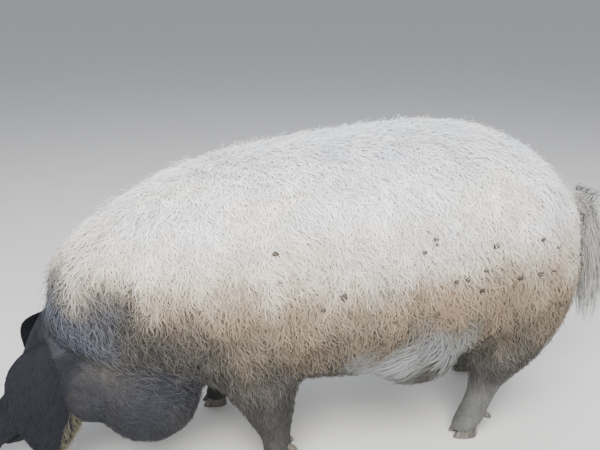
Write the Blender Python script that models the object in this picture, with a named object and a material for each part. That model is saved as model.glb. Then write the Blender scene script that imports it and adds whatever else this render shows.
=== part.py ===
"""A mangalica pig at life size, standing with its head down to feed.

The outer form of the coat is laid on in masses along the animal's own axes, then fused and
smoothed into one body. A core lies just over half the coat's depth below that form, and the fleece stands
on it as rounded clumps that reach the form again. Thin cuts part the whole into head, neck,
shoulders, barrel, rump and legs, and what grows from it is cut to meet it. Metres, +Z up, the head
towards -X, the left side towards -Y.
"""

import math
import random

import bmesh
import bpy
from mathutils import Matrix, Vector
from mathutils.bvhtree import BVHTree

LEFT, RIGHT = -1, 1
ACROSS = Vector((0, 1, 0))
UP = Vector((0, 0, 1))

# The drafting frame has X = 0 under the withers: this much of it lies ahead of the floor space's middle
AHEAD_OF_MIDDLE = 0.3625

MEETING_GAP = 0.0003

# The trunk and neck in upright sections: place along the body, back line, underside, half width
TRUNK_SECTIONS = (
    (1.046, 0.545, 0.430, 0.070),  # buttocks, under the tail
    (1.018, 0.598, 0.365, 0.135),
    (0.960, 0.662, 0.290, 0.188),  # croup
    (0.880, 0.720, 0.240, 0.222),
    (0.770, 0.761, 0.205, 0.240),  # hips
    (0.640, 0.773, 0.187, 0.247),  # loin
    (0.500, 0.764, 0.180, 0.250),  # belly
    (0.360, 0.750, 0.182, 0.247),
    (0.230, 0.730, 0.190, 0.240),  # withers
    (0.110, 0.701, 0.208, 0.227),
    (0.000, 0.654, 0.235, 0.207),  # neck
    (-0.090, 0.600, 0.262, 0.182),
    (-0.158, 0.550, 0.295, 0.154),  # nape roll
    (-0.212, 0.485, 0.345, 0.106),
)
BACK_SQUARENESS, BELLY_SQUARENESS = 2.2, 2.9

# The head hangs from the poll, pitched down by this much
POLL = Vector((-0.215, 0.0, 0.398))
HEAD_PITCH = math.radians(55)
HEAD_ALONG = Vector((-math.cos(HEAD_PITCH), 0.0, -math.sin(HEAD_PITCH)))
HEAD_UP = Vector((-math.sin(HEAD_PITCH), 0.0, math.cos(HEAD_PITCH)))
HEAD_LENGTH = 0.385

# Head and upper jaw: distance from the poll, dip of the profile, depth, half width
SKULL_SECTIONS = (
    (-0.080, 0.040, 0.200, 0.105),
    (0.000, 0.002, 0.215, 0.122),  # between the ears
    (0.070, 0.000, 0.205, 0.127),  # brow
    (0.130, 0.010, 0.175, 0.110),
    (0.185, 0.022, 0.138, 0.086),  # eyes
    (0.235, 0.026, 0.108, 0.069),
    (0.290, 0.020, 0.090, 0.058),
    (0.335, 0.010, 0.081, 0.051),
    (0.368, 0.003, 0.083, 0.050),  # rim of the snout
)
# Lower jaw: distance from the poll, depth of its top below the profile, own depth, half width
JAW_SECTIONS = (
    (0.050, 0.100, 0.140, 0.095),
    (0.130, 0.100, 0.120, 0.082),
    (0.200, 0.098, 0.090, 0.065),
    (0.265, 0.092, 0.062, 0.049),
    (0.315, 0.088, 0.040, 0.035),
    (0.342, 0.086, 0.024, 0.022),  # chin
)

# Egg-shaped masses on each side: centre on the left, then reach along X, Y and Z
PAIRED_MASSES = (
    ((-0.010, -0.108, 0.220), (0.120, 0.090, 0.128)),  # jowl
    ((-0.130, -0.080, 0.235), (0.100, 0.075, 0.095)),  # cheek
    ((0.878, -0.125, 0.405), (0.138, 0.108, 0.205)),  # ham
    ((0.205, -0.125, 0.390), (0.160, 0.105, 0.210)),  # shoulder
    ((0.590, -0.170, 0.255), (0.112, 0.060, 0.078)),  # flank fold
)
THROAT = ((-0.030, 0.0, 0.240), (0.120, 0.100, 0.105))

# Legs in level sections, from the foot up: height, offset along X from the foot, offset outwards,
# half length and half width
FORELEG = (
    (0.012, -0.004, 0.000, 0.032, 0.031),
    (0.042, 0.000, 0.000, 0.036, 0.037),  # fetlock
    (0.080, 0.004, 0.000, 0.036, 0.035),
    (0.120, 0.006, 0.000, 0.049, 0.044),  # knee
    (0.170, 0.006, 0.000, 0.070, 0.054),
    (0.230, 0.008, -0.008, 0.096, 0.068),  # elbow
    (0.330, 0.012, -0.035, 0.110, 0.070),
)
HIND_LEG = (
    (0.012, -0.014, 0.000, 0.032, 0.031),
    (0.045, 0.000, 0.000, 0.038, 0.037),  # fetlock
    (0.085, 0.008, 0.000, 0.036, 0.035),
    (0.125, 0.014, 0.000, 0.040, 0.039),
    (0.165, 0.026, 0.000, 0.062, 0.048),  # hock
    (0.215, 0.045, 0.000, 0.098, 0.066),
    (0.300, 0.070, -0.020, 0.130, 0.085),  # stifle
)
# Where each foot stands: name, leg form, place along the body, side, distance from the middle, and
# how far the leg leans back for each metre that it rises
FEET = (
    ("front_left", FORELEG, 0.278, LEFT, 0.160, -0.25),
    ("front_right", FORELEG, 0.160, RIGHT, 0.135, 0.20),
    ("hind_left", HIND_LEG, 0.745, LEFT, 0.145, 0.20),
    ("hind_right", HIND_LEG, 0.885, RIGHT, 0.145, -0.25),
)

BODY_VOXEL, BODY_SMOOTHING = 0.008, 10
HEAD_VOXEL, HEAD_SMOOTHING = 0.005, 5
CLUMP_VOXEL = 0.005
FACE_SOLVER = "MANIFOLD"  # for the small joins and cuts of the face
FLEECE_TRIANGLES, HEAD_TRIANGLES, LEG_BODY_TRIANGLES = 8500, 2000, 4200

# Where the body is parted, in the upright plane along it: a point and the way that the next node lies
HEAD_CUT = Vector((0.125, 0.0, 0.205)), Vector((-0.62, 0.0, -0.785))
NECK_CUT = Vector((0.125, 0.0, 0.205)), Vector((-0.993, 0.0, -0.118))
SHOULDER_CUT = Vector((0.400, 0.0, 0.0)), Vector((-1.0, 0.0, 0.0))
RUMP_CUT = Vector((0.660, 0.0, 0.0)), Vector((1.0, 0.0, 0.0))
FORELEG_CUT = Vector((0.200, 0.0, 0.174)), Vector((0.0, 0.0, -1.0))
HIND_LEG_CUT = Vector((0.660, 0.0, 0.176)), Vector((0.196, 0.0, -0.981))
MIDDLE_CUT = Vector((0.0, 0.0, 0.0)), Vector((0.0, -1.0, 0.0))
BODY_END = Vector((1.2, 0.0, 0.0)), Vector((1.0, 0.0, 0.0))

# The coat's depth over the skin on back and flanks, under the belly, and on face and feet
LONG_COAT, BELLY_COAT, SHORT_COAT = 0.034, 0.022, 0.004
CORE_SHARE = 0.55  # of the coat's depth, left above the core
LEG_COAT_FADE = 0.080, 0.230  # heights between which the coat grows to its full depth
FACE_COAT_FADE = (0.110, 0.000)  # and the distances in front of the head's cut
BELLY_FADE = 0.200, 0.330

# Clumps of fleece: how far apart, how long and wide, and how far their roots are sunk
CLUMP_SPACING = 0.082
CLUMP_LENGTH, CLUMP_HALF_WIDTH, CLUMP_ROOT = 0.112, 0.046, 0.010
CLUMP_SEED = 11
THINNEST_CLUMPED_COAT = 0.016
LIE = Vector((0.50, 0.0, -0.86))  # the coat lies down and a little back
LIE_SPREAD = math.radians(24)
# Rings of a clump from root to tip: share of length, of half width and of height
CLUMP_RINGS = (
    (-0.50, 0.40, 0.10),
    (-0.38, 0.78, 0.58),
    (-0.14, 0.98, 0.90),
    (0.14, 1.00, 1.00),
    (0.38, 0.80, 0.88),
    (0.50, 0.44, 0.50),
)
# Points round a ring: share of half width, share of height, and whether it lies in the core
CLUMP_OUTLINE = (
    (-0.98, 0.00, 1),
    (-0.92, 0.42, 0),
    (-0.58, 0.84, 0),
    (0.00, 1.00, 0),
    (0.58, 0.84, 0),
    (0.92, 0.42, 0),
    (0.98, 0.00, 1),
)

# The eye's distance from the poll and depth below the profile
EYE_ALONG, EYE_DEPTH = 0.160, 0.046
EYE_RADIUS = 0.012
EYE_SUNK = 0.0105  # its centre, below the face
LID_THICKNESS = 0.0035
LID_OPENING = (0.0098, 0.0062)  # half length and half height
EYE_LOOK = Vector((-0.60, -0.79, 0.10)).normalized()  # on the left

SNOUT_HALF_WIDTH, SNOUT_HALF_HEIGHT = 0.053, 0.043
SNOUT_MIDDLE_DEPTH = 0.043
SNOUT_THICKNESS = 0.045
NOSTRIL_HALF_WIDTH, NOSTRIL_HALF_HEIGHT, NOSTRIL_REACH = 0.0100, 0.0080, 0.024
NOSTRIL_SPACING = 0.044

# The line of the mouth: distance from the poll and depth below the profile, from corner to chin
MOUTH_LINE = (
    (0.192, 0.133),
    (0.210, 0.127),
    (0.240, 0.117),
    (0.280, 0.103),
    (0.315, 0.094),
    (0.335, 0.090),
)
MOUTH_FRONT = (0.354, 0.089)
LIP_RADIUS, MOUTH_GAPE, MOUTH_DEPTH = 0.010, 0.0035, 0.011

# The left ear's middle line, root first, then its half widths from root to tip
EAR_LINE = (Vector((-0.186, -0.088, 0.338)), Vector((-0.230, -0.168, 0.262)), Vector((-0.234, -0.138, 0.085)))
EAR_HALF_WIDTHS = (0.050, 0.070, 0.083, 0.087, 0.083, 0.070, 0.046, 0.012)
EAR_ACROSS = Vector((0.93, 0.12, -0.34)).normalized()
EAR_CUP = 0.026
EAR_THICKNESS = 0.007

# Claws, in the foot's own frame with the toes towards -X
CLAW_LENGTH, CLAW_WIDTH = 0.062, 0.029
CLAW_TOE = -0.038
CLAW_SPACING = 0.0325
CLAW_SPLAY = math.radians(5)
CORONET_HEIGHT, CORONET_SLOPE = 0.034, -0.34  # over the foot's middle, and its rise towards +X
DEWCLAW_HEIGHT, DEWCLAW_LENGTH, DEWCLAW_RADIUS = 0.062, 0.030, 0.0085
DEWCLAW_SPACING, DEWCLAW_BEHIND = 0.034, 0.022

# The tail from inside the rump to the end of its flesh: places along its middle line, and radii
TAIL_SECTIONS = (
    (1.000, 0.000, 0.535, 0.024),
    (1.058, -0.004, 0.556, 0.020),
    (1.104, -0.010, 0.528, 0.016),
    (1.128, -0.016, 0.450, 0.013),
    (1.134, -0.020, 0.370, 0.009),
)
# Locks on the tail: how many, how far down its line they start, length, half width, how far they
# stand off, and whether they hang or flare up
TAIL_LOCKS = (
    (5, 0.97, 0.140, 0.018, 0.024, 1),
    (4, 0.70, 0.125, 0.016, 0.030, 1),
    (3, 0.40, 0.085, 0.012, 0.036, -1),
)
LOCK_FLATNESS = 0.36
TAIL_SEED = 4
TAIL_ROOT, TAIL_CLEARING = Vector((1.040, 0.0, 0.550)), 0.065

NEIGHBOURS = tuple((x, y, z) for x in (-1, 0, 1) for y in (-1, 0, 1) for z in (-1, 0, 1))

# Colour and roughness of each kind of surface
FACE_LOOK = ((0.060, 0.060, 0.066), 0.75)
FLEECE_LOOK = ((0.560, 0.545, 0.510), 0.90)
LEG_LOOK = ((0.190, 0.180, 0.160), 0.85)
CLAW_LOOK = ((0.060, 0.052, 0.045), 0.45)
EYEBALL_LOOK = ((0.012, 0.008, 0.006), 0.08)
TAIL_LOOK = ((0.330, 0.320, 0.285), 0.90)


def mesh_object(name, points, faces):
    """A mesh object in the scene, its faces turned outwards."""
    mesh = bpy.data.meshes.new(name)
    mesh.from_pydata([tuple(p) for p in points], [], faces)
    thing = bpy.data.objects.new(name, mesh)
    bpy.context.scene.collection.objects.link(thing)
    form = bmesh.new()
    form.from_mesh(mesh)
    bmesh.ops.recalc_face_normals(form, faces=form.faces)
    form.to_mesh(mesh)
    form.free()
    return thing


def copy_of(thing, name):
    twin = thing.copy()
    twin.data = thing.data.copy()
    twin.name = name
    bpy.context.scene.collection.objects.link(twin)
    return twin


def discard(thing):
    bpy.data.objects.remove(thing)


def settled(thing):
    """The object with its modifiers worked into its mesh."""
    bpy.context.view_layer.update()
    graph = bpy.context.evaluated_depsgraph_get()
    mesh = bpy.data.meshes.new_from_object(thing.evaluated_get(graph))
    thing.modifiers.clear()
    thing.data = mesh
    return thing


def combined(thing, other, operation, solver="EXACT"):
    """The object joined with, cut by or kept inside the other, which goes."""
    boolean = thing.modifiers.new("Boolean", "BOOLEAN")
    boolean.operation = operation
    boolean.solver = solver
    boolean.object = other
    other.hide_render = True
    other.display_type = "WIRE"
    settled(thing)
    discard(other)
    return thing


def joined(thing, pieces, solver="EXACT"):
    """The object and all the pieces made one by a single union."""
    group = bpy.data.collections.new("pieces")
    bpy.context.scene.collection.children.link(group)
    for piece in pieces:
        bpy.context.scene.collection.objects.unlink(piece)
        group.objects.link(piece)
    boolean = thing.modifiers.new("Union", "BOOLEAN")
    boolean.operation = "UNION"
    boolean.solver = solver
    boolean.operand_type = "COLLECTION"
    boolean.collection = group
    settled(thing)
    for piece in pieces:
        discard(piece)
    bpy.data.collections.remove(group)
    return thing


def largest_surface(thing):
    """The object without any scraps beside its largest closed surface."""
    form = bmesh.new()
    form.from_mesh(thing.data)
    left = set(form.verts)
    shells = []
    while left:
        seed = left.pop()
        shell, edge = {seed}, [seed]
        while edge:
            near = {e.other_vert(v) for v in edge for e in v.link_edges} - shell
            shell |= near
            edge = list(near)
        left -= shell
        shells.append(shell)
    shells.sort(key=len)
    for shell in shells[:-1]:
        bmesh.ops.delete(form, geom=list(shell), context="VERTS")
    form.to_mesh(thing.data)
    form.free()
    return thing


def between(before, start, end, after, share):
    """A smooth curve's value a share of the way from start to end (Catmull-Rom)."""
    square, cube = share * share, share * share * share
    return 0.5 * (
        2 * start
        + (end - before) * share
        + (2 * before - 5 * start + 4 * end - after) * square
        + (3 * start - before - 3 * end + after) * cube
    )


def smoothed(rows, steps):
    """More rows on smooth curves through the given ones."""
    made = []
    for i in range(len(rows) - 1):
        four = rows[max(i - 1, 0)], rows[i], rows[i + 1], rows[min(i + 2, len(rows) - 1)]
        for step in range(steps):
            made.append([between(*values, step / steps) for values in zip(*four)])
    made.append(list(rows[-1]))
    return made


def skinned(name, rings):
    """A closed body through rings of points, every ring with the same number."""
    sides = len(rings[0])
    faces = [tuple(range(sides))]
    for ring in range(len(rings) - 1):
        low, high = ring * sides, (ring + 1) * sides
        for side in range(sides):
            after = (side + 1) % sides
            faces.append((low + side, low + after, high + after, high + side))
    last = (len(rings) - 1) * sides
    faces.append(tuple(range(last, last + sides)))
    return mesh_object(name, [point for ring in rings for point in ring], faces)


def ring_of(centre, across, up, half_width, half_height, sides, over=2.0, under=2.0):
    """Points round an ellipse, or round a form that is squarer over or under its middle."""
    points = []
    for side in range(sides):
        angle = 2 * math.pi * side / sides
        flat, tall = math.cos(angle), math.sin(angle)
        squareness = over if tall > 0 else under
        out = math.copysign(abs(flat) ** (2 / squareness), flat) * half_width
        rise = math.copysign(abs(tall) ** (2 / squareness), tall) * half_height
        points.append(centre + across * out + up * rise)
    return points


def loft(name, sections, across, up, over=2.0, under=2.0):
    """A closed body through sections of (x, y, z of the centre, half width, half height)."""
    rings = [
        ring_of(Vector(row[:3]), across, up, row[3], row[4], 28, over, under)
        for row in smoothed(sections, 4)
    ]
    return skinned(name, rings)


def ball(name, centre, reach, segments=32, rings=20):
    """An ellipsoid."""
    form = bmesh.new()
    bmesh.ops.create_uvsphere(form, u_segments=segments, v_segments=rings, radius=1.0)
    mesh = bpy.data.meshes.new(name)
    form.to_mesh(mesh)
    form.free()
    thing = bpy.data.objects.new(name, mesh)
    bpy.context.scene.collection.objects.link(thing)
    thing.data.transform(Matrix.Translation(centre) @ Matrix.Diagonal((*reach, 1.0)))
    return thing


def tube(name, line, radii, sides, up=UP, flatness=1.0):
    """A round or flattened bar along a line of points, closed at its ends."""
    rings = []
    for i, point in enumerate(line):
        way = (line[min(i + 1, len(line) - 1)] - line[max(i - 1, 0)]).normalized()
        across = way.cross(up).normalized()
        over = across.cross(way)
        rings.append(ring_of(point, across, over, radii[i], radii[i] * flatness, sides))
    return skinned(name, rings)


def fused(name, things, voxel, passes):
    """The things melted into one closed surface, with their joints smoothed over."""
    points, faces = [], []
    for thing in things:
        start = len(points)
        points.extend(v.co.copy() for v in thing.data.vertices)
        faces.extend(tuple(start + i for i in f.vertices) for f in thing.data.polygons)
        discard(thing)
    body = mesh_object(name, points, faces)
    remesh = body.modifiers.new("Fuse", "REMESH")
    remesh.mode = "VOXEL"
    remesh.voxel_size = voxel
    smooth = body.modifiers.new("Smooth", "SMOOTH")
    smooth.factor = 0.5
    smooth.iterations = passes
    return settled(body)


def thinned(thing, triangles):
    """The object with about this many triangles, kept where it curves most."""
    thin = thing.modifiers.new("Thin", "DECIMATE")
    thin.ratio = triangles / sum(len(face.vertices) - 2 for face in thing.data.polygons)
    thin.use_collapse_triangulate = True
    return settled(thing)


def mirrored(point, side):
    """The point given for the left side, on the side asked for."""
    return Vector((point[0], point[1] * -side, point[2]))


def trunk():
    rows = [
        (x, 0.0, (top + bottom) / 2, half_width, (top - bottom) / 2)
        for x, top, bottom, half_width in TRUNK_SECTIONS
    ]
    return loft("trunk", rows, ACROSS, UP, BACK_SQUARENESS, BELLY_SQUARENESS)


def head_point(along, depth, side=0.0):
    """A point in the head: along it from the poll, below its straight profile, to one side."""
    return POLL + HEAD_ALONG * along - HEAD_UP * depth + ACROSS * side


def head_loft(name, sections):
    rows = [
        (*head_point(along, top + depth / 2), half_width, depth / 2)
        for along, top, depth, half_width in sections
    ]
    return loft(name, rows, ACROSS, HEAD_UP)


def leg(form, along, side, out, lean):
    rows = [
        (along + ahead + lean * height, side * (out + outwards), height, half_width, half_length)
        for height, ahead, outwards, half_length, half_width in form
    ]
    return loft("leg", rows, ACROSS, Vector((1, 0, 0)))


def whole_body():
    """The body to the tips of its coat, without ears, claws and tail."""
    masses = [trunk(), ball("throat", *THROAT)]
    for side in (LEFT, RIGHT):
        masses += [ball("mass", mirrored(centre, side), reach) for centre, reach in PAIRED_MASSES]
    masses += [leg(*stance) for _, *stance in FEET]
    body = fused("body", masses, BODY_VOXEL, BODY_SMOOTHING)
    skull, jaw = head_loft("skull", SKULL_SECTIONS), head_loft("jaw", JAW_SECTIONS)
    head = fused("head", [skull, jaw], HEAD_VOXEL, HEAD_SMOOTHING)
    return fused("whole", [body, head], HEAD_VOXEL, HEAD_SMOOTHING)


def faded(value, none, full):
    """0 up to the first limit, 1 from the second on, smooth between."""
    share = min(max((value - none) / (full - none), 0.0), 1.0)
    return share * share * (3 - 2 * share)


def beyond(cut, point):
    """How far a point lies beyond a cut, on the side it points to."""
    return (point - cut[0]).dot(cut[1].normalized())


def coat_depth(point):
    """How deep the coat is over the skin, shallow on face and feet."""
    long_coat = BELLY_COAT + (LONG_COAT - BELLY_COAT) * faded(point.z, *BELLY_FADE)
    on_leg = faded(point.z, *LEG_COAT_FADE)
    off_face = faded(beyond(HEAD_CUT, point), *FACE_COAT_FADE)
    return SHORT_COAT + (long_coat - SHORT_COAT) * min(on_leg, off_face)


def sunk_to_core(outer):
    """The body drawn in from the tips of its coat to the core of the coat."""
    normals = [vertex.normal.copy() for vertex in outer.data.vertices]
    for vertex, normal in zip(outer.data.vertices, normals):
        vertex.co -= normal * coat_depth(vertex.co) * CORE_SHARE
    outer.data.update()
    return outer


def crosses_leg_cut(point):
    """Whether a point is level with the legs' own nodes."""
    over_foreleg = HEAD_CUT[0].x < point.x < SHOULDER_CUT[0].x and beyond(FORELEG_CUT, point) > 0
    over_hind_leg = point.x > RUMP_CUT[0].x and beyond(HIND_LEG_CUT, point) > 0
    return over_foreleg or over_hind_leg


def clump(surface, root, normal, draw):
    """One rounded clump that follows the core, its root sunk, its tip raised and turned aside."""
    lie = LIE - normal * LIE.dot(normal)
    lie = (Matrix.Rotation(draw.uniform(-1, 1) * LIE_SPREAD, 3, normal) @ lie).normalized()
    size = draw.uniform(0.86, 1.16)
    length, half_width = CLUMP_LENGTH * size, CLUMP_HALF_WIDTH * size * draw.uniform(0.9, 1.1)
    height = coat_depth(root) * CORE_SHARE * draw.uniform(0.9, 1.15)
    aside = draw.uniform(-0.12, 0.12) * length
    rings = []
    for along, width, rise in CLUMP_RINGS:
        across = normal.cross(lie)
        aim = root + lie * length * along + across * aside * (along + 0.5)
        foot, up, _, _ = surface.find_nearest(aim)
        across = (up.cross(lie)).normalized()
        ring = []
        for out, tall, in_core in CLUMP_OUTLINE:
            lift = -CLUMP_ROOT if in_core else height * rise * tall
            ring.append(foot + across * out * half_width * width + up * lift)
        rings.append(ring)
    return rings


def fleece(core):
    """The clumps, spread evenly where the coat is deep."""
    surface = surface_of(core)
    draw = random.Random(CLUMP_SEED)
    places = [(v.co.copy(), v.normal.copy()) for v in core.data.vertices]
    draw.shuffle(places)
    grid, clumps = {}, []
    for place, normal in places:
        if coat_depth(place) < THINNEST_CLUMPED_COAT or (place - TAIL_ROOT).length < TAIL_CLEARING:
            continue
        cell = tuple(math.floor(value / CLUMP_SPACING) for value in place)
        near = [
            other
            for step in NEIGHBOURS
            for other in grid.get(tuple(a + b for a, b in zip(cell, step)), ())
        ]
        if any((place - other).length < CLUMP_SPACING for other in near):
            continue
        grid.setdefault(cell, []).append(place)
        rings = clump(surface, place, normal, draw)
        if not any(crosses_leg_cut(point) for ring in rings for point in ring):
            clumps.append(skinned("clump", rings))
    return clumps


def space(*cuts):
    """All that lies beyond every cut, each a point and the way in, less half a meeting gap."""
    form = bmesh.new()
    bmesh.ops.create_cube(form, size=4.0)
    for point, inward in cuts:
        inward = inward.normalized()
        bmesh.ops.bisect_plane(
            form,
            geom=form.verts[:] + form.edges[:] + form.faces[:],
            plane_co=point + inward * MEETING_GAP / 2,
            plane_no=-inward,
            clear_outer=True,
        )
        bmesh.ops.holes_fill(form, edges=form.edges, sides=0)
    bmesh.ops.recalc_face_normals(form, faces=form.faces)
    mesh = bpy.data.meshes.new("space")
    form.to_mesh(mesh)
    form.free()
    thing = bpy.data.objects.new("space", mesh)
    bpy.context.scene.collection.objects.link(thing)
    return thing


def behind(cut):
    """The same cut, with its other side kept."""
    return cut[0], -cut[1]


def node_within(body, name, *cuts):
    """The part of the body beyond all the cuts."""
    return largest_surface(combined(copy_of(body, name), space(*cuts), "INTERSECT"))


def surface_of(thing):
    form = bmesh.new()
    form.from_mesh(thing.data)
    tree = BVHTree.FromBMesh(form)
    form.free()
    return tree


def on_face(surface, aim, way):
    """Where a ray that comes from outside towards a point in the head meets its surface."""
    hit, normal, _, _ = surface.ray_cast(aim + way * 0.4, -way)
    return hit, normal


def eye_centre(surface, side):
    """The eye's centre, its front standing a little out of the face before the lids are laid on."""
    look = mirrored(EYE_LOOK, side)
    hit, _ = on_face(surface, head_point(EYE_ALONG, EYE_DEPTH), ACROSS * side)
    return hit - look * EYE_SUNK


def turned_to(way, up):
    """The rotation whose X points that way, with Z as near up as may be."""
    across = up.cross(way).normalized()
    return Matrix((way, across, way.cross(across))).transposed().to_4x4()


def lid_ball(centre, side):
    """The mound of the lids over the eye."""
    thing = ball("lids", Vector(), (1.0, 1.0, 1.0), 18, 12)
    reach = EYE_RADIUS + LID_THICKNESS
    shape = Matrix.Diagonal((reach, reach * 1.3, reach * 1.05, 1.0))
    turn = turned_to(mirrored(EYE_LOOK, side), UP)
    thing.data.transform(Matrix.Translation(centre) @ turn @ shape)
    return thing


def lid_opening(centre, side):
    """An almond-shaped cutter out through the lids, from the eye's centre."""
    half_length, half_height = LID_OPENING
    look = mirrored(EYE_LOOK, side)
    turn = turned_to(look, UP).to_3x3()
    outline = []
    for step in range(12):
        angle = 2 * math.pi * step / 12
        rise = math.sin(angle) * half_height * abs(math.sin(angle)) ** 0.3
        outline.append(turn @ Vector((0.0, math.cos(angle) * half_length, rise)))
    near = [centre + look * EYE_RADIUS * 0.2 + point for point in outline]
    far = [centre + look * EYE_RADIUS * 3 + point * 1.25 for point in outline]
    return skinned("opening", [near, far])


def eyeball(name, centre, radius):
    return ball(name, centre, (radius, radius, radius), 14, 8)


def snout_disc():
    """The flat disc of the snout, with a soft rim."""
    middle = head_point(HEAD_LENGTH, SNOUT_MIDDLE_DEPTH)
    steps = ((-SNOUT_THICKNESS, 0.80), (-0.014, 0.985), (-0.005, 1.0), (0.0, 0.93), (0.0005, 0.70))
    rings = [
        ring_of(
            middle + HEAD_ALONG * ahead,
            ACROSS,
            HEAD_UP,
            SNOUT_HALF_WIDTH * size,
            SNOUT_HALF_HEIGHT * size,
            24,
        )
        for ahead, size in steps
    ]
    return skinned("disc", rings)


def nostril(side):
    reach = (NOSTRIL_REACH, NOSTRIL_HALF_WIDTH, NOSTRIL_HALF_HEIGHT)
    thing = ball("nostril", Vector(), reach, 12, 8)
    turn = turned_to(HEAD_ALONG, HEAD_UP)
    place = head_point(HEAD_LENGTH, SNOUT_MIDDLE_DEPTH - 0.002, side * NOSTRIL_SPACING / 2)
    thing.data.transform(Matrix.Translation(place) @ turn)
    return thing


def mouth_path(surface):
    """The line of the mouth on the face, from the left corner round the chin to the right one."""
    sides = {}
    for side in (LEFT, RIGHT):
        sides[side] = [
            on_face(surface, head_point(along, depth), ACROSS * side)[0]
            for along, depth in smoothed(MOUTH_LINE, 2)
        ]
    return sides[LEFT] + [head_point(*MOUTH_FRONT)] + sides[RIGHT][::-1]


def bar_along(name, path, half_depth, half_height, sides):
    """A bar along a path round the jaws, its depth pointing out of the face."""
    rings = []
    for i, point in enumerate(path):
        way = (path[min(i + 1, len(path) - 1)] - path[max(i - 1, 0)]).normalized()
        out = way.cross(HEAD_UP).normalized()
        end = 0.35 if i in (0, len(path) - 1) else 1.0
        rings.append(
            ring_of(point, out, out.cross(way), half_depth * end, half_height * end, sides)
        )
    return skinned(name, rings)


def cut_face(head):
    """The head with its snout, nostrils, lips, mouth, lids and eye sockets. Returns the eyes too."""
    surface = surface_of(head)
    centres = {side: eye_centre(surface, side) for side in (LEFT, RIGHT)}
    path = mouth_path(surface)
    lids = [lid_ball(centres[side], side) for side in (LEFT, RIGHT)]
    lips = bar_along("lips", path, LIP_RADIUS * 0.55, LIP_RADIUS, 6)
    joined(head, [snout_disc(), lips, *lids], FACE_SOLVER)
    mouth = bar_along("mouth", path, MOUTH_DEPTH, MOUTH_GAPE / 2, 4)
    combined(head, mouth, "DIFFERENCE", FACE_SOLVER)
    eyes = []
    for side, label in ((LEFT, "left"), (RIGHT, "right")):
        combined(head, nostril(side), "DIFFERENCE", FACE_SOLVER)
        combined(head, lid_opening(centres[side], side), "DIFFERENCE", FACE_SOLVER)
        socket = eyeball("socket", centres[side], EYE_RADIUS + MEETING_GAP)
        combined(head, socket, "DIFFERENCE", FACE_SOLVER)
        eyes.append(eyeball(f"eye_{label}", centres[side], EYE_RADIUS))
    largest_surface(head)
    return eyes


def curve_point(line, share):
    """A point on the smooth bend through three points."""
    start, middle, end = line
    return start.lerp(middle, share).lerp(middle.lerp(end, share), share)


def ear(name, side):
    """A cupped leaf that hangs from beside the poll, its hollow towards the face."""
    rows = smoothed([(width,) for width in EAR_HALF_WIDTHS], 2)
    shares = [-1.0, -0.8, -0.45, 0.0, 0.45, 0.8, 1.0]
    outer, inner = [], []
    for i, (half_width,) in enumerate(rows):
        share = i / (len(rows) - 1)
        middle = curve_point(EAR_LINE, share)
        ahead = curve_point(EAR_LINE, min(share + 0.02, 1.0))
        behind_it = curve_point(EAR_LINE, max(share - 0.02, 0.0))
        way = (ahead - behind_it).normalized()
        face = way.cross(EAR_ACROSS).normalized()
        face = face if face.y > 0 else -face
        cup = EAR_CUP * (1.4 - share) * half_width / max(EAR_HALF_WIDTHS)
        for place in shares:
            point = middle + EAR_ACROSS * half_width * place + face * cup * place * place
            thickness = EAR_THICKNESS * (1.0 - 0.65 * place * place)
            outer.append(mirrored(point - face * thickness / 2, side))
            inner.append(mirrored(point + face * thickness / 2, side))
    count, across = len(rows), len(shares)
    base = len(outer)
    faces = []
    for row in range(count - 1):
        for column in range(across - 1):
            a = row * across + column
            b, c, d = a + 1, a + across + 1, a + across
            faces += [(a, b, c), (a, c, d)]
            faces += [(base + a, base + c, base + b), (base + a, base + d, base + c)]
    rim = [column for column in range(across)]
    rim += [row * across + across - 1 for row in range(1, count)]
    rim += [(count - 1) * across + column for column in range(across - 2, -1, -1)]
    rim += [row * across for row in range(count - 2, 0, -1)]
    for a, b in zip(rim, rim[1:] + rim[:1]):
        faces += [(a, base + a, base + b), (a, base + b, b)]
    return mesh_object(name, outer + inner, faces)


def grown(thing):
    """A copy of the object grown by the meeting gap, to cut what meets it."""
    twin = copy_of(thing, "grown")
    swell = twin.modifiers.new("Grow", "DISPLACE")
    swell.mid_level = 0.0
    swell.strength = MEETING_GAP
    return settled(twin)


def cut_to_meet(thing, neighbour):
    return largest_surface(combined(thing, grown(neighbour), "DIFFERENCE"))


def coronet(along):
    """The height at which horn meets skin, by distance behind the foot's middle."""
    return CORONET_HEIGHT + CORONET_SLOPE * along


def claw(name, foot, side):
    """One main claw, flat below, its front wall raked and its top along the coronet."""
    _, _, foot_along, foot_side, foot_out, _ = foot
    turn = math.copysign(CLAW_SPLAY, side)
    middle = Vector((foot_along, foot_side * foot_out + side * CLAW_SPACING / 2, 0.0))
    rings = []
    for share, shrink in ((0.0, 1.0), (0.10, 1.03), (0.55, 0.97), (1.0, 0.86)):
        ring = []
        for step in range(12):
            angle = 2 * math.pi * step / 12
            toe = 0.5 - 0.5 * math.cos(angle)  # 0 at the heel, 1 at the toe
            along = CLAW_TOE + CLAW_LENGTH * (1.0 - toe)
            width = CLAW_WIDTH / 2 * math.sin(angle) * (1.0 - 0.30 * toe) * shrink
            if width * side < 0:
                width *= 0.72
            along = CLAW_TOE + CLAW_LENGTH / 2 + (along - CLAW_TOE - CLAW_LENGTH / 2) * shrink
            along += 0.022 * share * toe + 0.004 * share
            x = along * math.cos(turn) - width * math.sin(turn)
            y = along * math.sin(turn) + width * math.cos(turn)
            height = share * (coronet(x) - MEETING_GAP)
            ring.append(middle + Vector((x, y, height)))
        rings.append(ring)
    return skinned(name, rings)


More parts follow.
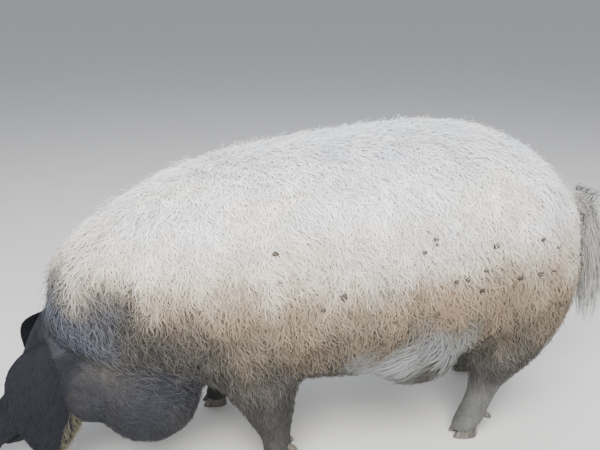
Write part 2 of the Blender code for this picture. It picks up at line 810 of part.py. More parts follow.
def dewclaw(name, foot, side):
    """One of the two small claws behind the pastern, pointing down and back."""
    _, _, foot_along, foot_side, foot_out, lean = foot
    root = Vector(
        (
            foot_along + lean * DEWCLAW_HEIGHT + DEWCLAW_BEHIND,
            foot_side * foot_out + side * DEWCLAW_SPACING / 2,
            DEWCLAW_HEIGHT + 0.004,
        )
    )
    way = Vector((0.80, side * 0.10, -0.60)).normalized()
    line = [root + way * DEWCLAW_LENGTH * share for share in (0.0, 0.5, 0.85, 1.0)]
    radii = [DEWCLAW_RADIUS * share for share in (1.0, 1.0, 0.72, 0.25)]
    return tube(name, line, radii, 8)


def tail_lock(root, length, half_width, stand_off, sense, angle):
    """A flat, tapered lock that leaves the tail at an angle round it, bends and hangs or flares."""
    out = Vector((math.cos(angle), math.sin(angle), 0.0))
    shares = (0.0, 0.30, 0.68, 1.0)
    widths = (0.80, 1.0, 0.70, 0.14)
    line = []
    for share in shares:
        off = out * stand_off * math.sin(share * math.pi * 0.62)
        line.append(root + off - UP * sense * length * (share - 0.10) + ACROSS * 0.004 * share)
    radii = [half_width * width for width in widths]
    return tube("lock", line, radii, 5, out, LOCK_FLATNESS)


def tail():
    """The tail, its root inside the rump, with its tassel."""
    rows = smoothed(TAIL_SECTIONS, 3)
    line = [Vector(row[:3]) for row in rows]
    body = tube("tail", line, [row[3] for row in rows], 8, ACROSS)
    draw = random.Random(TAIL_SEED)
    locks = []
    for count, start, length, half_width, stand_off, sense in TAIL_LOCKS:
        for number in range(count):
            place = line[round(start * (len(line) - 1))]
            angle = 2 * math.pi * (number + draw.uniform(-0.25, 0.25)) / count
            longer = length * draw.uniform(0.85, 1.1)
            off = stand_off * draw.uniform(0.7, 1.15)
            locks.append(tail_lock(place, longer, half_width, off, sense, angle))
    return joined(body, locks)


def material_of(name, look):
    colour, roughness = look
    material = bpy.data.materials.new(name)
    material.use_nodes = True
    shader = material.node_tree.nodes["Principled BSDF"]
    shader.inputs["Base Color"].default_value = (*colour, 1.0)
    shader.inputs["Roughness"].default_value = roughness
    shader.inputs["Metallic"].default_value = 0.0
    return material


def finish(thing, look, pig):
    """The node with its material, its origin at its own middle and the pig's empty as parent."""
    thing.data.materials.clear()
    thing.data.materials.append(material_of(thing.name, look))
    thing.data.shade_smooth()
    thing.data.set_sharp_from_angle(angle=math.radians(50))
    points = [vertex.co for vertex in thing.data.vertices]
    low = Vector([min(point[axis] for point in points) for axis in range(3)])
    high = Vector([max(point[axis] for point in points) for axis in range(3)])
    middle = (low + high) / 2
    thing.data.transform(Matrix.Translation(-middle))
    thing.location = middle
    thing.parent = pig


def clear_scene():
    for thing in list(bpy.data.objects):
        bpy.data.objects.remove(thing)


def head_and_eyes(fine, clumps):
    """The head, cut finer than the rest for the sake of the face, with its share of the clumps."""
    ahead = HEAD_CUT[0] + Vector((0.03, 0, 0)), Vector((-1, 0, 0))
    below = HEAD_CUT[0] - HEAD_CUT[1] * 0.03, HEAD_CUT[1]
    part = node_within(fine, "part", ahead, below)
    shared = [
        copy_of(piece, "clump")
        for piece in clumps
        if any(beyond(HEAD_CUT, vertex.co) > 0 for vertex in piece.data.vertices)
    ]
    part = thinned(fused("part", [part, *shared], CLUMP_VOXEL, 1), HEAD_TRIANGLES)
    head = node_within(part, "head", HEAD_CUT, (HEAD_CUT[0], Vector((-1, 0, 0))))
    discard(part)
    return head, cut_face(head)


def foot_and_leg(body, foot):
    """A leg with its two claws and two dewclaws."""
    label, form, along, side = foot[:4]
    ahead, behind_it = (HEAD_CUT, SHOULDER_CUT) if form is FORELEG else (RUMP_CUT, BODY_END)
    shin = node_within(
        body,
        f"leg_{label}",
        FORELEG_CUT if form is FORELEG else HIND_LEG_CUT,
        MIDDLE_CUT if side == LEFT else behind(MIDDLE_CUT),
        (Vector((along, 0, CORONET_HEIGHT)), Vector((-CORONET_SLOPE, 0, 1))),
        (ahead[0], Vector((1, 0, 0))),
        (behind_it[0], Vector((-1, 0, 0))),
    )
    claws = []
    for claw_side in (LEFT, RIGHT):
        place = "outer" if claw_side == side else "inner"
        claws.append(claw(f"claw_{label}_{place}", foot, claw_side))
        small = dewclaw(f"dewclaw_{label}_{place}", foot, claw_side)
        claws.append(cut_to_meet(small, shin))
    return shin, claws


def main():
    clear_scene()
    pig = bpy.data.objects.new("pig", None)
    bpy.context.scene.collection.objects.link(pig)
    fine = sunk_to_core(whole_body())
    clumps = fleece(fine)
    head, eyes = head_and_eyes(fine, clumps)
    legs = thinned(copy_of(fine, "legs"), LEG_BODY_TRIANGLES)
    body = thinned(fused("body", [fine, *clumps], CLUMP_VOXEL, 1), FLEECE_TRIANGLES)
    rump = node_within(body, "rump", RUMP_CUT, behind(HIND_LEG_CUT))
    looks = {
        head: FACE_LOOK,
        node_within(body, "neck", behind(HEAD_CUT), NECK_CUT): FLEECE_LOOK,
        node_within(
            body, "shoulders", behind(NECK_CUT), SHOULDER_CUT, behind(FORELEG_CUT)
        ): FLEECE_LOOK,
        node_within(body, "torso", behind(SHOULDER_CUT), behind(RUMP_CUT)): FLEECE_LOOK,
        rump: FLEECE_LOOK,
        cut_to_meet(tail(), rump): TAIL_LOOK,
    }
    looks.update({eye: EYEBALL_LOOK for eye in eyes})
    for side, label in ((LEFT, "left"), (RIGHT, "right")):
        looks[cut_to_meet(ear(f"ear_{label}", side), head)] = FACE_LOOK
    for foot in FEET:
        shin, claws = foot_and_leg(legs, foot)
        looks[shin] = LEG_LOOK
        looks.update({piece: CLAW_LOOK for piece in claws})
    discard(body)
    discard(legs)
    for thing, look in looks.items():
        finish(thing, look, pig)
    pig.location = Vector((-AHEAD_OF_MIDDLE, 0, 0))


main()
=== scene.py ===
"""The mangalica pig as it looks: one hide under a soft curly coat of solid tufts.

It is built on the same masses as the solids, so that the hide lies inside them by the depth of
the coat. Metres, +Z up, the head towards -X, the left side towards -Y. The forms are drafted with
X = 0 under the withers and moved into the row frame when a piece is finished.
"""

import math

import bmesh
import bpy
import numpy as np
from mathutils import Matrix, Vector
from mathutils.bvhtree import BVHTree

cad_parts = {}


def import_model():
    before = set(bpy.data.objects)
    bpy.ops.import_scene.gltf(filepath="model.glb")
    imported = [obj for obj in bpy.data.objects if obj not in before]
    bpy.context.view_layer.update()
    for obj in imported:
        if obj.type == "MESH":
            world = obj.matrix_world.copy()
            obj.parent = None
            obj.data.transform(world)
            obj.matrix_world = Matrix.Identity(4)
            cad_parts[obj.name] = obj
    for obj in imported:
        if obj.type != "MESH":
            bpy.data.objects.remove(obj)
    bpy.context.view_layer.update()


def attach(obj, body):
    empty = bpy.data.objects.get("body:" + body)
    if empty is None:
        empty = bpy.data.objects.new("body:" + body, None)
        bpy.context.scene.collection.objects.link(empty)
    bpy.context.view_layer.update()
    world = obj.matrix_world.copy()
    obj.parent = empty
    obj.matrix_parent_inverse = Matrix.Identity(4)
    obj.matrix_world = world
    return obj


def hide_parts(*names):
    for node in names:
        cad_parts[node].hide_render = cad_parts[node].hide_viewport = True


LEFT, RIGHT = -1, 1
LABELS = {LEFT: "left", RIGHT: "right"}
ACROSS = Vector((0, 1, 0))
UP = Vector((0, 0, 1))
AHEAD_OF_MIDDLE = 0.3625  # of the drafting frame's X = 0 lies this much in the row frame
MEETING_GAP = 0.0003  # between pieces that touch

# The trunk and neck in upright sections: place along the body, back line, underside, half width
TRUNK_SECTIONS = (
    (1.046, 0.545, 0.430, 0.070),  # buttocks, under the tail
    (1.018, 0.598, 0.365, 0.135),
    (0.960, 0.662, 0.290, 0.188),  # croup
    (0.880, 0.720, 0.240, 0.222),
    (0.770, 0.761, 0.205, 0.240),  # hips
    (0.640, 0.773, 0.187, 0.247),  # loin
    (0.500, 0.764, 0.180, 0.250),  # belly
    (0.360, 0.750, 0.182, 0.247),
    (0.230, 0.730, 0.190, 0.240),  # withers
    (0.110, 0.701, 0.208, 0.227),
    (0.000, 0.654, 0.235, 0.207),  # neck
    (-0.090, 0.600, 0.262, 0.182),
    (-0.158, 0.550, 0.295, 0.154),  # nape roll
    (-0.212, 0.485, 0.345, 0.106),
)
BACK_SQUARENESS, BELLY_SQUARENESS = 2.2, 2.9

# The head hangs from the poll, pitched down by this much
POLL = Vector((-0.215, 0.0, 0.398))
HEAD_PITCH = math.radians(55)
HEAD_ALONG = Vector((-math.cos(HEAD_PITCH), 0.0, -math.sin(HEAD_PITCH)))
HEAD_UP = Vector((-math.sin(HEAD_PITCH), 0.0, math.cos(HEAD_PITCH)))
HEAD_LENGTH = 0.385

# Head and upper jaw: distance from the poll, dip of the profile, depth, half width
SKULL_SECTIONS = (
    (-0.080, 0.040, 0.200, 0.105),
    (0.000, 0.002, 0.215, 0.122),  # between the ears
    (0.070, 0.000, 0.205, 0.127),  # brow
    (0.130, 0.010, 0.175, 0.110),
    (0.185, 0.022, 0.138, 0.086),  # eyes
    (0.235, 0.026, 0.108, 0.069),
    (0.290, 0.020, 0.090, 0.058),
    (0.335, 0.010, 0.081, 0.051),
    (0.368, 0.003, 0.083, 0.050),  # rim of the snout
)
# Lower jaw: distance from the poll, depth of its top below the profile, own depth, half width
JAW_SECTIONS = (
    (0.050, 0.100, 0.140, 0.095),
    (0.130, 0.100, 0.120, 0.082),
    (0.200, 0.098, 0.090, 0.065),
    (0.265, 0.092, 0.062, 0.049),
    (0.315, 0.088, 0.040, 0.035),
    (0.342, 0.086, 0.024, 0.022),  # chin
)

# Egg-shaped masses on each side: centre on the left, then reach along X, Y and Z
PAIRED_MASSES = (
    ((-0.010, -0.108, 0.220), (0.120, 0.090, 0.128)),  # jowl
    ((-0.130, -0.080, 0.235), (0.100, 0.075, 0.095)),  # cheek
    ((0.878, -0.125, 0.405), (0.138, 0.108, 0.205)),  # ham
    ((0.205, -0.125, 0.390), (0.160, 0.105, 0.210)),  # shoulder
    ((0.590, -0.170, 0.255), (0.112, 0.060, 0.078)),  # flank fold
)
THROAT = ((-0.030, 0.0, 0.240), (0.120, 0.100, 0.105))

# Legs in level sections, from the foot up: height, offset along X from the foot, offset outwards,
# half length and half width
FORELEG = (
    (0.012, -0.004, 0.000, 0.032, 0.031),
    (0.042, 0.000, 0.000, 0.036, 0.037),  # fetlock
    (0.080, 0.004, 0.000, 0.036, 0.035),
    (0.120, 0.006, 0.000, 0.049, 0.044),  # knee
    (0.170, 0.006, 0.000, 0.070, 0.054),
    (0.230, 0.008, -0.008, 0.096, 0.068),  # elbow
    (0.330, 0.012, -0.035, 0.110, 0.070),
)
HIND_LEG = (
    (0.012, -0.014, 0.000, 0.032, 0.031),
    (0.045, 0.000, 0.000, 0.038, 0.037),  # fetlock
    (0.085, 0.008, 0.000, 0.036, 0.035),
    (0.125, 0.014, 0.000, 0.040, 0.039),
    (0.165, 0.026, 0.000, 0.062, 0.048),  # hock
    (0.215, 0.045, 0.000, 0.098, 0.066),
    (0.300, 0.070, -0.020, 0.130, 0.085),  # stifle
)
# Where each foot stands: name, leg form, place along the body, side, distance from the middle, and
# how far the leg leans back for each metre that it rises
FEET = (
    ("front_left", FORELEG, 0.278, LEFT, 0.160, -0.25),
    ("front_right", FORELEG, 0.160, RIGHT, 0.135, 0.20),
    ("hind_left", HIND_LEG, 0.745, LEFT, 0.145, 0.20),
    ("hind_right", HIND_LEG, 0.885, RIGHT, 0.145, -0.25),
)

BODY_VOXEL, BODY_SMOOTHING = 0.008, 10
HEAD_VOXEL, HEAD_SMOOTHING = 0.005, 5
HIDE_VOXEL = 0.0032
HIDE_TRIANGLES = 190000
FACE_FROM = 0.10  # distance beyond the head's cut from which the face keeps all its triangles

# Where the head ends and the legs begin: a point and the way that the head or leg lies
HEAD_CUT = Vector((0.125, 0.0, 0.205)), Vector((-0.62, 0.0, -0.785))

# The coat's depth over the hide on back and flanks, under the belly, and on face and feet
LONG_COAT, BELLY_COAT, SHORT_COAT = 0.034, 0.022, 0.004
HIDE_SHARE = 0.56  # of the coat's depth, from its tips down to the hide
LEG_COAT_FADE = 0.080, 0.230  # heights between which the coat grows to its full depth
FACE_COAT_FADE = 0.110, 0.000  # and the distances in front of the head's cut
BELLY_FADE = 0.200, 0.330

# The eye's distance from the poll and depth below the profile
EYE_ALONG, EYE_DEPTH = 0.160, 0.046
EYE_RADIUS = 0.012
EYE_SUNK = 0.0105  # its centre, below the face
LID_THICKNESS = 0.0035
LID_OPENING = (0.0098, 0.0062)  # half length and half height
EYE_LOOK = Vector((-0.60, -0.79, 0.10)).normalized()  # on the left

SNOUT_HALF_WIDTH, SNOUT_HALF_HEIGHT = 0.053, 0.043
SNOUT_MIDDLE_DEPTH = 0.043
SNOUT_THICKNESS = 0.045
# Its rim, from inside the face to the front: distance ahead and share of the disc's size
SNOUT_RIM = ((-SNOUT_THICKNESS, 0.80), (-0.014, 0.985), (-0.005, 1.0), (0.0, 0.93), (0.0005, 0.70))
NOSTRIL_HALF_WIDTH, NOSTRIL_HALF_HEIGHT, NOSTRIL_REACH = 0.0100, 0.0080, 0.024
NOSTRIL_SPACING = 0.044

# The line of the mouth: distance from the poll and depth below the profile, from corner to chin
MOUTH_LINE = (
    (0.192, 0.133),
    (0.210, 0.127),
    (0.240, 0.117),
    (0.280, 0.103),
    (0.315, 0.094),
    (0.335, 0.090),
)
MOUTH_FRONT = (0.354, 0.089)
LIP_RADIUS, MOUTH_GAPE, MOUTH_DEPTH = 0.010, 0.0035, 0.011

# The left ear's middle line, root first, then its half widths from root to tip
EAR_LINE = (
    Vector((-0.186, -0.088, 0.338)),
    Vector((-0.230, -0.168, 0.262)),
    Vector((-0.234, -0.138, 0.085)),
)
EAR_HALF_WIDTHS = (0.050, 0.070, 0.083, 0.087, 0.083, 0.070, 0.046, 0.012)
EAR_ACROSS = Vector((0.93, 0.12, -0.34)).normalized()
EAR_CUP = 0.026
EAR_THICKNESS = 0.007

# Claws, in the foot's own frame with the toes towards -X
CLAW_LENGTH, CLAW_WIDTH = 0.062, 0.029
CLAW_TOE = -0.038
CLAW_SPACING = 0.0325
CLAW_SPLAY = math.radians(5)
CORONET_HEIGHT, CORONET_SLOPE = 0.034, -0.34  # over the foot's middle, and its rise towards +X
DEWCLAW_HEIGHT, DEWCLAW_LENGTH, DEWCLAW_RADIUS = 0.062, 0.030, 0.0085
DEWCLAW_SPACING, DEWCLAW_BEHIND, DEWCLAW_RAISED = 0.034, 0.022, 0.004
DEWCLAW_DOWN, DEWCLAW_OUT = (0.80, -0.60), 0.10
DEWCLAW_TAPER = ((0.0, 1.0), (0.5, 1.0), (0.85, 0.72), (1.0, 0.25))  # share of its length and size there
CLAW_WALL = ((0.0, 1.0), (0.10, 1.03), (0.55, 0.97), (1.0, 0.86))  # share of its height and size there
CLAW_INNER_WALL, CLAW_TOE_NARROWING = 0.72, 0.30
CLAW_RAKE, CLAW_SET_BACK = 0.022, 0.004  # how far its top lies behind its base at the toe, and all round
CLAW_SIDES = 12

# The tail from inside the rump to the end of its flesh: places along its middle line, and radii
TAIL_SECTIONS = (
    (1.000, 0.000, 0.535, 0.024),
    (1.058, -0.004, 0.556, 0.020),
    (1.104, -0.010, 0.528, 0.016),
    (1.128, -0.016, 0.450, 0.013),
    (1.134, -0.020, 0.370, 0.009),
)
# Colours as the coat and hide carry them, named by what they look like; some also hold painted shade, as
# said where they are used
WHITE, CREAM, BISCUIT = (0.87, 0.852, 0.835), (0.72, 0.655, 0.565), (0.49, 0.415, 0.32)
SAND, DUN, TAUPE = (0.305, 0.240, 0.170), (0.205, 0.168, 0.123), (0.130, 0.110, 0.086)
# STONE is painted shadow, laid on the roll behind the poll under the nape's crest
DUSK, UMBER, STONE = (0.075, 0.069, 0.060), (0.050, 0.049, 0.047), (0.070, 0.078, 0.096)
# SLATE is the face's and ears' dark skin and hair, darkened further as painted shade over the lowered
# head; bluish JOWL_GREY is the jowl's grey hair with painted shade as well
SLATE, JOWL_GREY, NECK_GREY = (0.015, 0.016, 0.022), (0.036, 0.038, 0.046), (0.068, 0.064, 0.059)
PALE_TUFT, ASH, PALE_FOOT = (0.265, 0.28, 0.275), (0.125, 0.125, 0.12), (0.135, 0.138, 0.133)
BLUSH, FROST, MUD = (0.33, 0.215, 0.145), (0.68, 0.70, 0.735), (0.095, 0.083, 0.070)
# The coat from the ground up: height and colour. It darkens towards the ground partly as the coat's own
# darker tan and partly as painted shade, and the cooler, duller FROST over the top of the back is painted
# shade
COAT_BY_HEIGHT = (
    (0.17, UMBER),
    (0.26, DUSK),
    (0.32, TAUPE),
    (0.375, DUN),
    (0.43, SAND),
    (0.475, BISCUIT),
    (0.52, CREAM),
    (0.60, WHITE),
    (0.67, WHITE),
    (0.76, FROST),
)
RUMP_RISE, RUMP_FROM = 0.020, (0.55, 0.95)  # the same colours start this much lower over the rump
# Markings laid over that in turn: centre on the left, reach, colour and strength
MARKINGS = (
    ((0.98, -0.14, 0.34), (0.20, 0.36, 0.16), DUN, 0.7),  # behind the thigh
    ((0.24, -0.16, 0.13), (0.22, 0.26, 0.10), UMBER, 1.0),  # forelegs
    ((0.80, -0.145, 0.08), (0.20, 0.24, 0.13), ASH, 1.0),  # hind cannons
    ((0.80, -0.145, 0.00), (0.24, 0.26, 0.07), PALE_FOOT, 0.9),
    ((0.525, -0.23, 0.262), (0.120, 0.16, 0.080), PALE_TUFT, 1.0),  # flank fold
    ((0.640, -0.23, 0.305), (0.125, 0.16, 0.085), PALE_TUFT, 1.0),
    ((0.03, -0.22, 0.335), (0.20, 0.24, 0.14), NECK_GREY, 0.95),  # neck behind the jowl
    ((-0.06, -0.18, 0.410), (0.13, 0.20, 0.13), NECK_GREY, 0.95),
    ((0.08, -0.18, 0.25), (0.14, 0.20, 0.10), UMBER, 0.8),
    # Painted shadow: bluish grey STONE on the roll behind the poll, where the nape's crest overhangs it
    ((-0.17, -0.07, 0.400), (0.15, 0.30, 0.165), STONE, 1.0),  # roll behind the poll
    # The jowl's grey, partly painted shade under the lowered head
    ((-0.02, -0.12, 0.21), (0.17, 0.24, 0.18), JOWL_GREY, 1.0),
)
FOLD_PLACE = (0.555, -0.23, 0.265), (0.150, 0.16, 0.090)
JOWL_PLACE = (-0.02, -0.11, 0.21), (0.17, 0.30, 0.19)
DRIFT, DRIFT_SIZE = 0.026, 0.15  # how far the markings' edges wander, and in what patches
RAGGED, RAGGED_SIZE = 0.006, 0.035  # and how ragged they are
BLUSH_SIZE, BLUSH_HEIGHTS = 0.10, (0.27, 0.38, 0.44, 0.52)
BLUSH_SHARE, BLUSH_BEHIND = 0.38, 0.08
MOTTLE_SIZE, MOTTLE = 0.060, 0.11  # patches of lighter and darker coat low on the flank
MOTTLE_FADE = 0.40, 0.56
STREAK_SIZE, STREAK = 0.030, 0.075  # faint upright streaks of light and shade
STREAK_SQUEEZE, SHADE_SIZE = (1.0, 1.0, 0.22), 0.11
WARMTH, WARMTH_SIZE = (0.0, -0.012, -0.036), 0.16  # patches of warmer and cooler coat
CLODS, CLOD_REACH, CLOD_SEED = 44, (0.0030, 0.0085), 11  # small clods of dried mud on the flanks
CLOD_ALONG, CLOD_HEIGHTS, CLOD_LIFT = (0.08, 0.98), (0.34, 0.56), 0.44  # lift as a share of the coat
BESIDE_THE_PIG = 0.6
FACE_EDGE = 0.020, 0.130  # distances beyond the head's cut between which the coat turns slate

# How the coat lies: centre on the left, reach, and the way it lies there on the left side
COAT_LIE = Vector((0.24, 0.0, -0.97))
LIES = (
    ((0.55, 0.0, 0.20), (0.300, 0.30, 0.060), (0.95, 0.0, -0.20)),  # belly
    ((0.560, -0.22, 0.265), (0.190, 0.20, 0.125), (-0.90, 0.0, -0.42)),  # flank fold
    ((-0.16, 0.0, 0.50), (0.110, 0.30, 0.120), (0.10, 0.0, -0.99)),  # nape
)
LIE_WANDER = 0.24
FACE_LIE, FACE_LIE_FADE = -HEAD_ALONG * 0.55 + Vector((0.25, 0.0, -0.75)), (-0.06, 0.05)
LEG_LIE, LEG_LIE_FADE = (0.10, 0.0, -1.0), (0.13, 0.22)

# Tufts: length over hide with the shortest and the longest coat, and width at the root
SHORT_TUFT, LONG_TUFT = 0.012, 0.037
SHORT_WIDTH, LONG_WIDTH = 0.0018, 0.0028
SHORT_CELL, LONG_CELL = 0.0062, 0.0061
JOWL_SHARE = 0.34  # of the longest tufts, on the jowl
TUFT_SUNK = 0.003
# Least and most share of those sizes, of the curls below and of their turns, from tuft to tuft
TUFT_LENGTHS, TUFT_WIDTHS, TUFT_CURLS, TUFT_TURNS = (0.75, 1.2), (0.7, 1.25), (0.4, 1.5), (0.7, 1.3)
TUFT_LIFT, TUFT_LIFT_SPREAD, LIFT_LIMITS = 0.46, 0.15, (0.10, 0.95)  # shares of the room over the hide
JOWL_ROOM, FOLD_ROOM = 0.005, 0.011  # more of that room on the jowl and on the flank fold
JOWL_WOOL, FOLD_LONGER, FOLD_COMBED, FOLD_STRAIGHTER = 0.9, 1.1, 0.6, 0.5
TUFT_TINTS, DARK_TINTS, TINT_LIMITS = 0.06, 4, (0.5, 1.6)  # dark tufts differ this many times more
LOCK_TURN, LOCK_LIFT, LOCK_TINT = 0.14, 0.08, 0.04  # one lock against the next
LOCK_CELL = 0.021
CURL_REACH, CURL_TURNS = 0.0042, 0.72
TURN_SPREAD = 0.40  # of one tuft against the next, about the hide
TURN_AT_LEAST, TURN_BY_WOOL = 0.3, 0.9  # share of that spread, and how much more with the fullest coat
SOFTNESS = 0.75  # share of the hide's own direction in how a tuft takes the light
DARK_LESS_SOFT = 0.30  # and how much less for dark hair
# Each tuft is darkened at its root as painted shade within the coat, and grows lighter to its tip, partly
# as the hair's paler tips and partly as painted highlight, more so on dark hair
ROOT_SHADE, TIP_SHADE = (0.90, -0.22), (0.14, 0.60)  # how a tuft brightens, and what dark hair adds
TUFT_FLATNESS, TUFT_BLUNTNESS = 0.55, 0.14
LONG_FROM = 0.22  # share of the full coat from which a tuft counts as long
LONG_PULL, SHORT_PULL = 0.38, 0.20  # of tips towards the middle of their lock
COAT_RINGS, CURL_RINGS = 3, 7
HAIRLESS_HEIGHT, BARE_JOWL_HEIGHT = 0.040, 0.05
EYE_CLEARING, MOUTH_CLEARING, SNOUT_CLEARING = 0.019, 0.011, 0.022
MOST_TRIANGLES = 190000  # in one piece of coat
COAT_SEED = 5

# Thin curls that stand out of the coat along nape, back and rump
CURLS, CURL_LENGTH, CURL_WIDTH, CURL_STAND = 2400, 0.036, 0.0013, 0.013
CURL_LENGTHS, CURL_WIDTHS, CURL_TINTS = (0.6, 1.3), (0.8, 1.3), (0.95, 1.15)
CURL_TRIES = 6  # places tried for each
CURL_FACING, CURL_HEIGHT, CURL_COAT = 0.05, 0.34, 0.4  # least upward slope, height and fullness of coat
CURL_LIE_SPREAD, CURL_LIFT = 0.6, 0.75
CURL_AMPLITUDE, CURL_AMPLITUDES, CURL_WINDINGS = 0.0055, (0.4, 1.3), (0.8, 2.0)
NAPE_FADE, NAPE_STAND, BACK_STAND = (-0.05, 0.25), 0.6, 0.8

SAMPLES = 640000  # random places tried for tufts

# Creases of the hide: points on the left, half width and depth
FOLDS = (
    (((-0.165, -0.060, 0.330), (-0.120, -0.120, 0.250), (-0.105, -0.150, 0.165)), 0.012, 0.007),
    (((0.100, -0.170, 0.320), (0.110, -0.190, 0.230), (0.090, -0.150, 0.140)), 0.016, 0.010),
    (((-0.280, -0.100, 0.268), (-0.262, -0.100, 0.240), (-0.240, -0.100, 0.222)), 0.004, 0.0016),
    (((-0.300, -0.030, 0.290), (-0.305, 0.0, 0.292), (-0.300, 0.030, 0.290)), 0.006, 0.0022),
    (((-0.322, -0.030, 0.262), (-0.328, 0.0, 0.264), (-0.322, 0.030, 0.262)), 0.006, 0.0020),
    (((-0.415, -0.035, 0.135), (-0.420, 0.0, 0.140), (-0.415, 0.035, 0.135)), 0.005, 0.0020),
    (((-0.428, -0.040, 0.112), (-0.434, 0.0, 0.116), (-0.428, 0.040, 0.112)), 0.005, 0.0022),
    (((0.215, -0.225, 0.155), (0.255, -0.235, 0.148), (0.300, -0.225, 0.156)), 0.006, 0.0026),
    (((0.225, -0.215, 0.120), (0.258, -0.225, 0.113), (0.295, -0.215, 0.122)), 0.005, 0.0022),
    (((0.640, -0.235, 0.300), (0.680, -0.235, 0.245), (0.690, -0.200, 0.195)), 0.018, 0.010),
)

EAR_SAMPLES, EAR_CELL, EAR_LIE_SPREAD = 26000, 0.0064, 0.18
EAR_HAIR_LENGTH, EAR_HAIR_WIDTH, EAR_HAIR_LIFT, EAR_HAIR_CURL = 0.014, 0.0019, 0.0016, 0.0006
EAR_BRISTLE, EAR_BRISTLES = 0.022, 260
EAR_HAIR_SIZES, EAR_HAIR_LIFTS, EAR_HAIR_TINTS = (0.7, 1.3), (0.5, 1.5), (0.5, 1.3)
BRISTLE_WIDTH, BRISTLE_LIFT, BRISTLE_CURL, BRISTLE_PULL = 0.0012, 0.004, 0.0030, 0.004
BRISTLE_LENGTHS, BRISTLE_LIFTS, BRISTLE_CURLS = (0.5, 1.25), (0.2, 1.4), (0.4, 1.4)
BRISTLE_TURNS, BRISTLE_TINTS, BRISTLE_WIDTHS = (0.6, 1.4), (0.55, 1.15), (0.6, 1.3)
BRISTLES_FROM, BRISTLES_OVER, BRISTLES_BUNCHED = 0.50, 0.46, (1.6, 1.8)  # shares of the ear's length
BRISTLE_EDGE, BRISTLE_INWARD, BRISTLE_CROWDING = 0.97, 0.45, 1.6  # shares of the ear's half width
BRISTLE_ACROSS, BRISTLE_BACK = (-0.2, 0.5), (0.0, 0.25)
BRISTLE, TAIL_HAIR = (0.125, 0.115, 0.080), (0.40, 0.39, 0.36)
LASHES, LASH_LENGTH, LASH_WIDTH, LASH = 26, 0.010, 0.0009, (0.022, 0.021, 0.021)
LASH_LENGTHS, LASH_DROOP = (0.7, 1.1), 0.35
LASHES_FROM, LASHES_OVER = 0.12, 0.76  # shares of the half turn over the eye
TAIL_STRANDS, TAIL_STRAND_WIDTH, TAIL_RINGS = 1450, 0.0019, 8
TAIL_STRAND_LENGTH, TASSEL_LENGTH = 0.040, 0.105  # at the root, and how much more in the tassel
WISPS_FROM, WISPS_TO, WISPS = 0.30, 0.52, 0.28  # stretch of the tail, and share of its strands there
WISP_OUT, WISP_RISE = (0.45, -0.35), (0.3, 1.0)
TASSEL_FADE, TAIL_HANG = (0.35, 0.9), (0.05, -0.02, -1.0)
TAIL_LIFT, TASSEL_LIFT, TAIL_WAVE, TAIL_BODY, TAIL_SAG = 0.012, 0.020, 0.0045, 0.006, 0.18
TAIL_LENGTHS, TAIL_WAVES, TAIL_TURNS = (0.6, 1.15), (0.3, 1.5), (0.7, 1.5)
TAIL_TINTS, TAIL_WIDTHS = (0.6, 1.25), (0.6, 1.3)
TAIL_FLESH = 0.86  # share of the tail's radius
# The eyeball's colours, from the rim to the pupil: how squarely they face the way it looks
EYE_TINTS = ((-1.0, (0.055, 0.045, 0.038)), (0.60, (0.040, 0.021, 0.011)), (0.90, (0.003, 0.003, 0.003)))
CORNEA = 0.0010

FLESH_NODES = ("head", "neck", "shoulders", "torso", "rump", *(f"leg_{foot[0]}" for foot in FEET))

# Uniform values of each material's shader
COAT_SHINE = {
    "Roughness": 0.62,
    "Specular IOR Level": 0.12,
    "Sheen Weight": 0.03,
    "Sheen Roughness": 0.5,
}
HIDE_SHINE = {"Roughness": 0.68, "Specular IOR Level": 0.15}
HORN_SHINE = {"Roughness": 0.42}
EYE_SHINE = {
    "Roughness": 0.12,
    "Specular IOR Level": 0.30,
    "Coat Weight": 0.25,
    "Coat Roughness": 0.05,
}
# Noise in the materials: stretch of the object's coordinates, scale, detail, least and most value
EVEN = (1, 1, 1)
COAT_BLOTCHES, COAT_FIBRES = (EVEN, 26, 4, 0.90, 1.07), ((420, 420, 70), 1, 2, 0.90, 1.07)
HIDE_BLOTCHES, HIDE_FIBRES = (EVEN, 30, 5, 0.80, 1.18), ((520, 520, 90), 1, 3, 0.72, 1.22)
HORN_BLOTCHES, EYE_GRAIN = ((160, 160, 14), 1, 4, 0.0, 1.0), (EVEN, 900, 3, 0.7, 1.3)
FLOOR_BLOTCHES = (EVEN, 3, 3, 0.97, 1.0)
HIDE_GRAIN_SCALE, HIDE_GRAIN, HORN_RINGS = 230, 1.4, 150
HIDE_BUMP, HORN_BUMP = (0.0012, 0.55), (0.0005, 0.2)  # distance and strength
DARK_HORN, PALE_HORN = (0.040, 0.036, 0.032, 1), (0.17, 0.15, 0.125, 1)
FLOOR, SKY, SKY_STRENGTH = (0.68, 0.67, 0.65, 1), (0.86, 0.90, 1.0, 1), 0.55
FLOOR_REACH = 90

# The camera, from the photo: place in the row frame, turn from straight across, and pitch down
CAMERA_PLACE = (-0.3625, -1.49, 1.0725)
CAMERA_TURN, CAMERA_PITCH = 13.5, 19.4
# Lights: name, place, what they face, size, power and colour
LIGHTS = (
    ("key", (-0.5, -2.2, 2.6), (0.0, 0.0, 0.45), 2.6, 290, (1.0, 0.985, 0.965)),
    ("sky", (0.6, 0.9, 3.2), (0.1, 0.0, 0.5), 2.6, 66, (0.90, 0.95, 1.0)),
    ("fill", (-2.4, -2.6, 1.4), (0.0, 0.0, 0.4), 2.0, 14, (1.0, 0.98, 0.95)),
)


def placed(name, data):
    """A new object in the scene."""
    thing = bpy.data.objects.new(name, data)
    bpy.context.scene.collection.objects.link(thing)
    return thing


